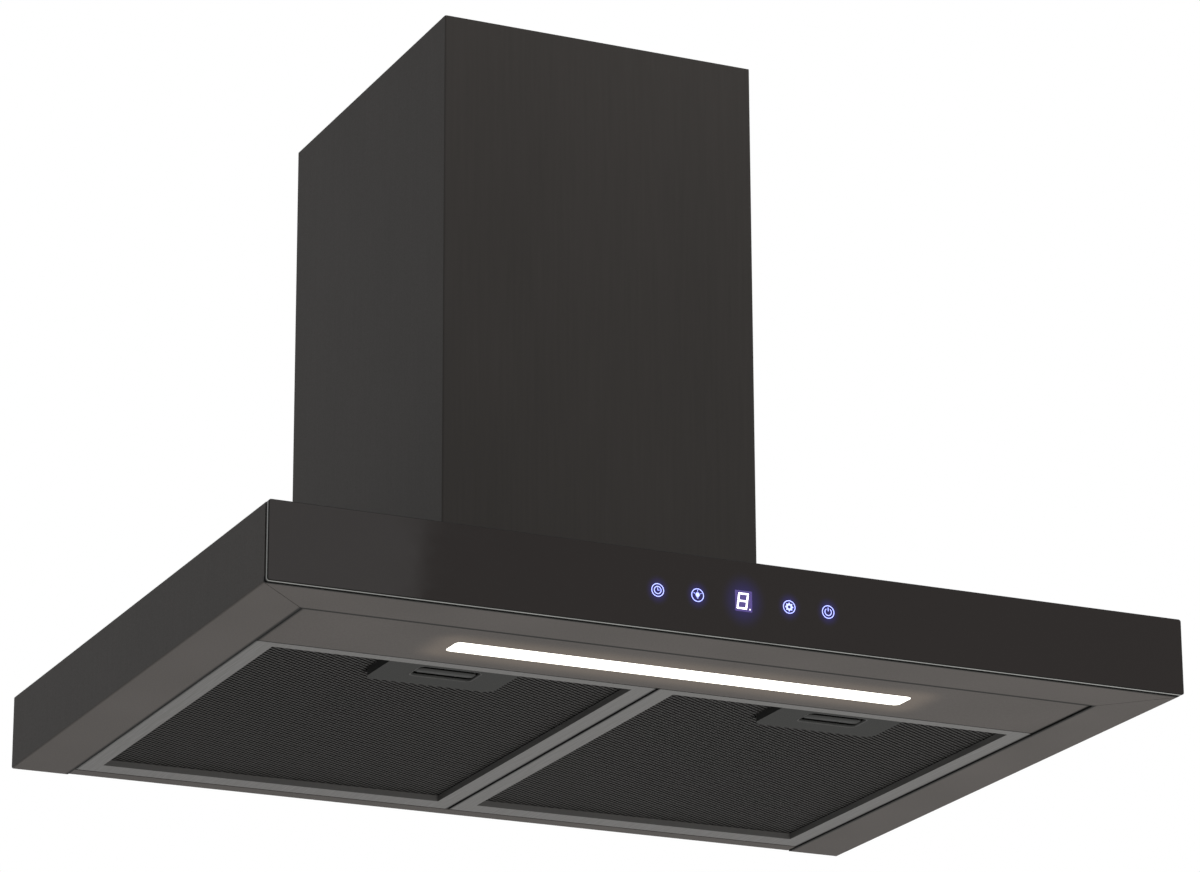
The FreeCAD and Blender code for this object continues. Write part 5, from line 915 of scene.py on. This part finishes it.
class HOOD_OT_screws(bpy.types.Operator):
    """Zinc-plated screws with a domed head, a cross recess and a thread"""
    bl_idname = "hood.screws"
    bl_label = "Screws"

    def execute(self, context):
        plated = metal("zinc-plated screw", "#cfcec8", "#b3b2ab", 0.25)
        for node, body in (("canopy_screws", "hood"), ("spigot_screws", "hood"),
                           ("bracket_screws", "upper_chimney"), ("motor_screws", "hood")):
            screws = gather([self.fitted(corners) for corners in separate_solids(node)])
            shape(node + "_detailed", screws, [plated], replaces=[node], body=body,
                  smooth=40)
        return {"FINISHED"}

    def fitted(self, corners):
        """One screw on the axis, head and reach of a plain CAD screw. Its axis is the one that
        its box is equally wide across, because the head is round."""
        extent = np.ptp(corners, 0)
        axis = int(np.abs(np.roll(extent, 1) - np.roll(extent, -1)).argmin())
        others = [i for i in range(3) if i != axis]
        low, high = corners.min(0), corners.max(0)
        centre = (low + high) / 2
        away = np.hypot(*(corners[:, others] - centre[others]).T)
        head = corners[away > away.max() * 0.9, axis]
        way = 1 if head.mean() > centre[axis] else -1
        seat = head.min() if way > 0 else head.max()
        end = low[axis] if way > 0 else high[axis]
        tip = away[np.abs(corners[:, axis] - end) < 0.2]
        rows = self.screw(away.max(), np.ptp(head), tip.max(), abs(end - seat))
        placed = np.zeros_like(rows)
        placed[..., others[0]] = rows[..., 0] + centre[others[0]]
        placed[..., others[1]] = rows[..., 1] + centre[others[1]]
        placed[..., axis] = seat + way * rows[..., 2]
        return stacked(placed)

    def screw(self, head_radius, head_height, radius, reach):
        """Rows of points from the middle of the head to the tip.

        The head's height falls with the 2.5th power of the radius, less a cross: deep where the
        smaller of |x| and |y| is within the slot's half width and the larger within its length.
        The shank's radius is a triangle wave of (height / pitch + turn), which winds a thread."""
        angle = np.linspace(0, 2 * math.pi, 36, endpoint=False)[None, :]
        r = np.linspace(0.02, 1, 12)[:, None] * head_radius
        x, y = r * np.cos(angle), r * np.sin(angle)
        narrow, wide = np.minimum(np.abs(x), np.abs(y)), np.maximum(np.abs(x), np.abs(y))
        cross = (np.clip((0.17 * head_radius - narrow) / (0.08 * head_radius), 0, 1)
                 * np.clip((0.58 * head_radius - wide) / (0.1 * head_radius), 0, 1))
        height = head_height * (1 - 0.4 * (r / head_radius) ** 2.5) - 0.55 * head_height * cross
        head = np.stack([x, y, height], -1)
        pitch = radius * 0.42
        z = -np.arange(0, reach, pitch / 4)[:, None]
        turn = z / pitch + angle / (2 * math.pi)
        ridge = np.abs(2 * (turn - np.floor(turn)) - 1)
        point = np.clip((reach + z) / (1.2 * radius), 0.35, 1)
        thread = radius * (1 - 0.16 * ridge) * point
        shank = np.stack([thread * np.cos(angle), thread * np.sin(angle), z + 0 * angle], -1)
        under = np.stack([head_radius * np.cos(angle), head_radius * np.sin(angle), 0 * angle], -1)
        return np.concatenate([head, under, shank])


class HOOD_OT_stage(bpy.types.Operator):
    """Pale floor, soft studio light, white surroundings and the camera"""
    bl_idname = "hood.stage"
    bl_label = "Stage"

    def execute(self, context):
        self.floor()
        self.surroundings()
        self.lamp("key", (1.5, -2.9, 1.5), 2.2, 56)
        self.lamp("sheen", (0.45, -3.4, 1.1), 1.1, 3.5, True)
        self.lamp("bounce", (0.3, -0.6, -1.4), 1.6, 70)
        self.camera()
        bpy.context.scene.view_settings.view_transform = "Standard"
        return {"FINISHED"}

    def floor(self):
        """A large flat floor, lower than a real one, so that it is out of the way of views
        from below."""
        half, z = 12.0, -settings().floor_drop
        mesh = bpy.data.meshes.new("floor")
        mesh.from_pydata([(-half, -half, z), (half, -half, z), (half, half, z), (-half, half, z)],
                         [], [(0, 1, 2, 3)])
        floor = bpy.data.objects.new("floor", mesh)
        bpy.context.scene.collection.objects.link(floor)
        material, tree, surface = new_material("pale matt floor", Roughness=0.9,
                                               Specular_IOR_Level=0.1)
        pale = (*settings().floor_tint, 1.0)
        slightly = (*(c * 0.985 for c in pale[:3]), 1.0)
        feed(surface, Base_Color=ramp(tree, grain(tree, 400), 0.3, 0.7, slightly, pale))
        mesh.materials.append(material)

    def surroundings(self):
        """White where the camera, gloss and glass look, and a plain level of light elsewhere."""
        world = bpy.context.scene.world or bpy.data.worlds.new("studio")
        bpy.context.scene.world = world
        world.use_nodes = True
        tree = world.node_tree
        tree.nodes.clear()
        path = add(tree, "ShaderNodeLightPath")
        seen = path.outputs["Is Camera Ray"]
        for ray in ("Is Glossy Ray", "Is Transmission Ray"):
            seen = add(tree, "ShaderNodeMath", {0: seen, 1: path.outputs[ray]},
                       operation="MAXIMUM").outputs[0]
        light, white = (add(tree, "ShaderNodeBackground", Color=(1, 1, 1, 1), Strength=strength)
                        for strength in (0.55, 1.0))
        mix = add(tree, "ShaderNodeMixShader",
                  {0: seen, 1: light.outputs[0], 2: white.outputs[0]})
        add(tree, "ShaderNodeOutputWorld", {"Surface": mix.outputs[0]})

    def lamp(self, name, place, size, power, reflected=False):
        """A square soft light that faces the middle of the hood. Only the weak sheen light shows
        in gloss, as the soft bright area at the near end of the glass."""
        data = bpy.data.lights.new(name, "AREA")
        data.size = size
        data.energy = power
        lamp = bpy.data.objects.new(name, data)
        lamp.location = place
        way = Vector((0, -0.2, 0.15)) - Vector(place)
        lamp.rotation_euler = way.to_track_quat("-Z", "Y").to_euler()
        lamp.visible_camera = False
        lamp.visible_glossy = reflected
        bpy.context.scene.collection.objects.link(lamp)

    def camera(self):
        """The camera's direction, roll, place and focal length, fitted to the hood's edges in the
        photograph."""
        azimuth, elevation, roll = (math.radians(a) for a in (-24.855, -18.575, -0.262))
        place, focal_pixels, photo_width, sensor = (-1.2071, -2.8637, -0.7769), 4760.9, 1200, 36
        back = Vector((math.sin(azimuth) * math.cos(elevation),
                       -math.cos(azimuth) * math.cos(elevation), math.sin(elevation)))
        right = (-back).cross(Vector((0, 0, 1))).normalized()
        up = right.cross(-back)
        across = math.cos(roll) * right + math.sin(roll) * up
        upward = -math.sin(roll) * right + math.cos(roll) * up
        data = bpy.data.cameras.new("camera")
        data.sensor_width = sensor
        data.lens = focal_pixels / photo_width * sensor
        data.clip_end = 100
        camera = bpy.data.objects.new("camera", data)
        camera.matrix_world = (Matrix.Translation(place)
                               @ Matrix((across, upward, back)).transposed().to_4x4())
        bpy.context.scene.collection.objects.link(camera)
        bpy.context.scene.camera = camera


class HOOD_PT_panel(bpy.types.Panel):
    """Lists the steps that dress the hood"""
    bl_idname = "HOOD_PT_panel"
    bl_label = "Range Hood"
    bl_space_type = "VIEW_3D"
    bl_region_type = "UI"
    bl_category = "Range Hood"

    def draw(self, context):
        for step in STEPS:
            self.layout.operator(step.bl_idname)
        for name in HoodSettings.__annotations__:
            self.layout.prop(context.scene.hood_settings, name)


STEPS = (HOOD_OT_stage, HOOD_OT_canopy, HOOD_OT_glass, HOOD_OT_symbols, HOOD_OT_springs,
         HOOD_OT_lamp, HOOD_OT_filters, HOOD_OT_latches, HOOD_OT_electrics, HOOD_OT_blower,
         HOOD_OT_screws)
CLASSES = (HoodSettings, *STEPS, HOOD_PT_panel)


def register():
    for each in CLASSES:
        bpy.utils.register_class(each)
    bpy.types.Scene.hood_settings = PointerProperty(type=HoodSettings)


def unregister():
    del bpy.types.Scene.hood_settings
    for each in reversed(CLASSES):
        bpy.utils.unregister_class(each)


def main():
    register()
    for step in STEPS:
        group, action = step.bl_idname.split(".")
        getattr(getattr(bpy.ops, group), action)()


if __name__ == "__main__":
    main()
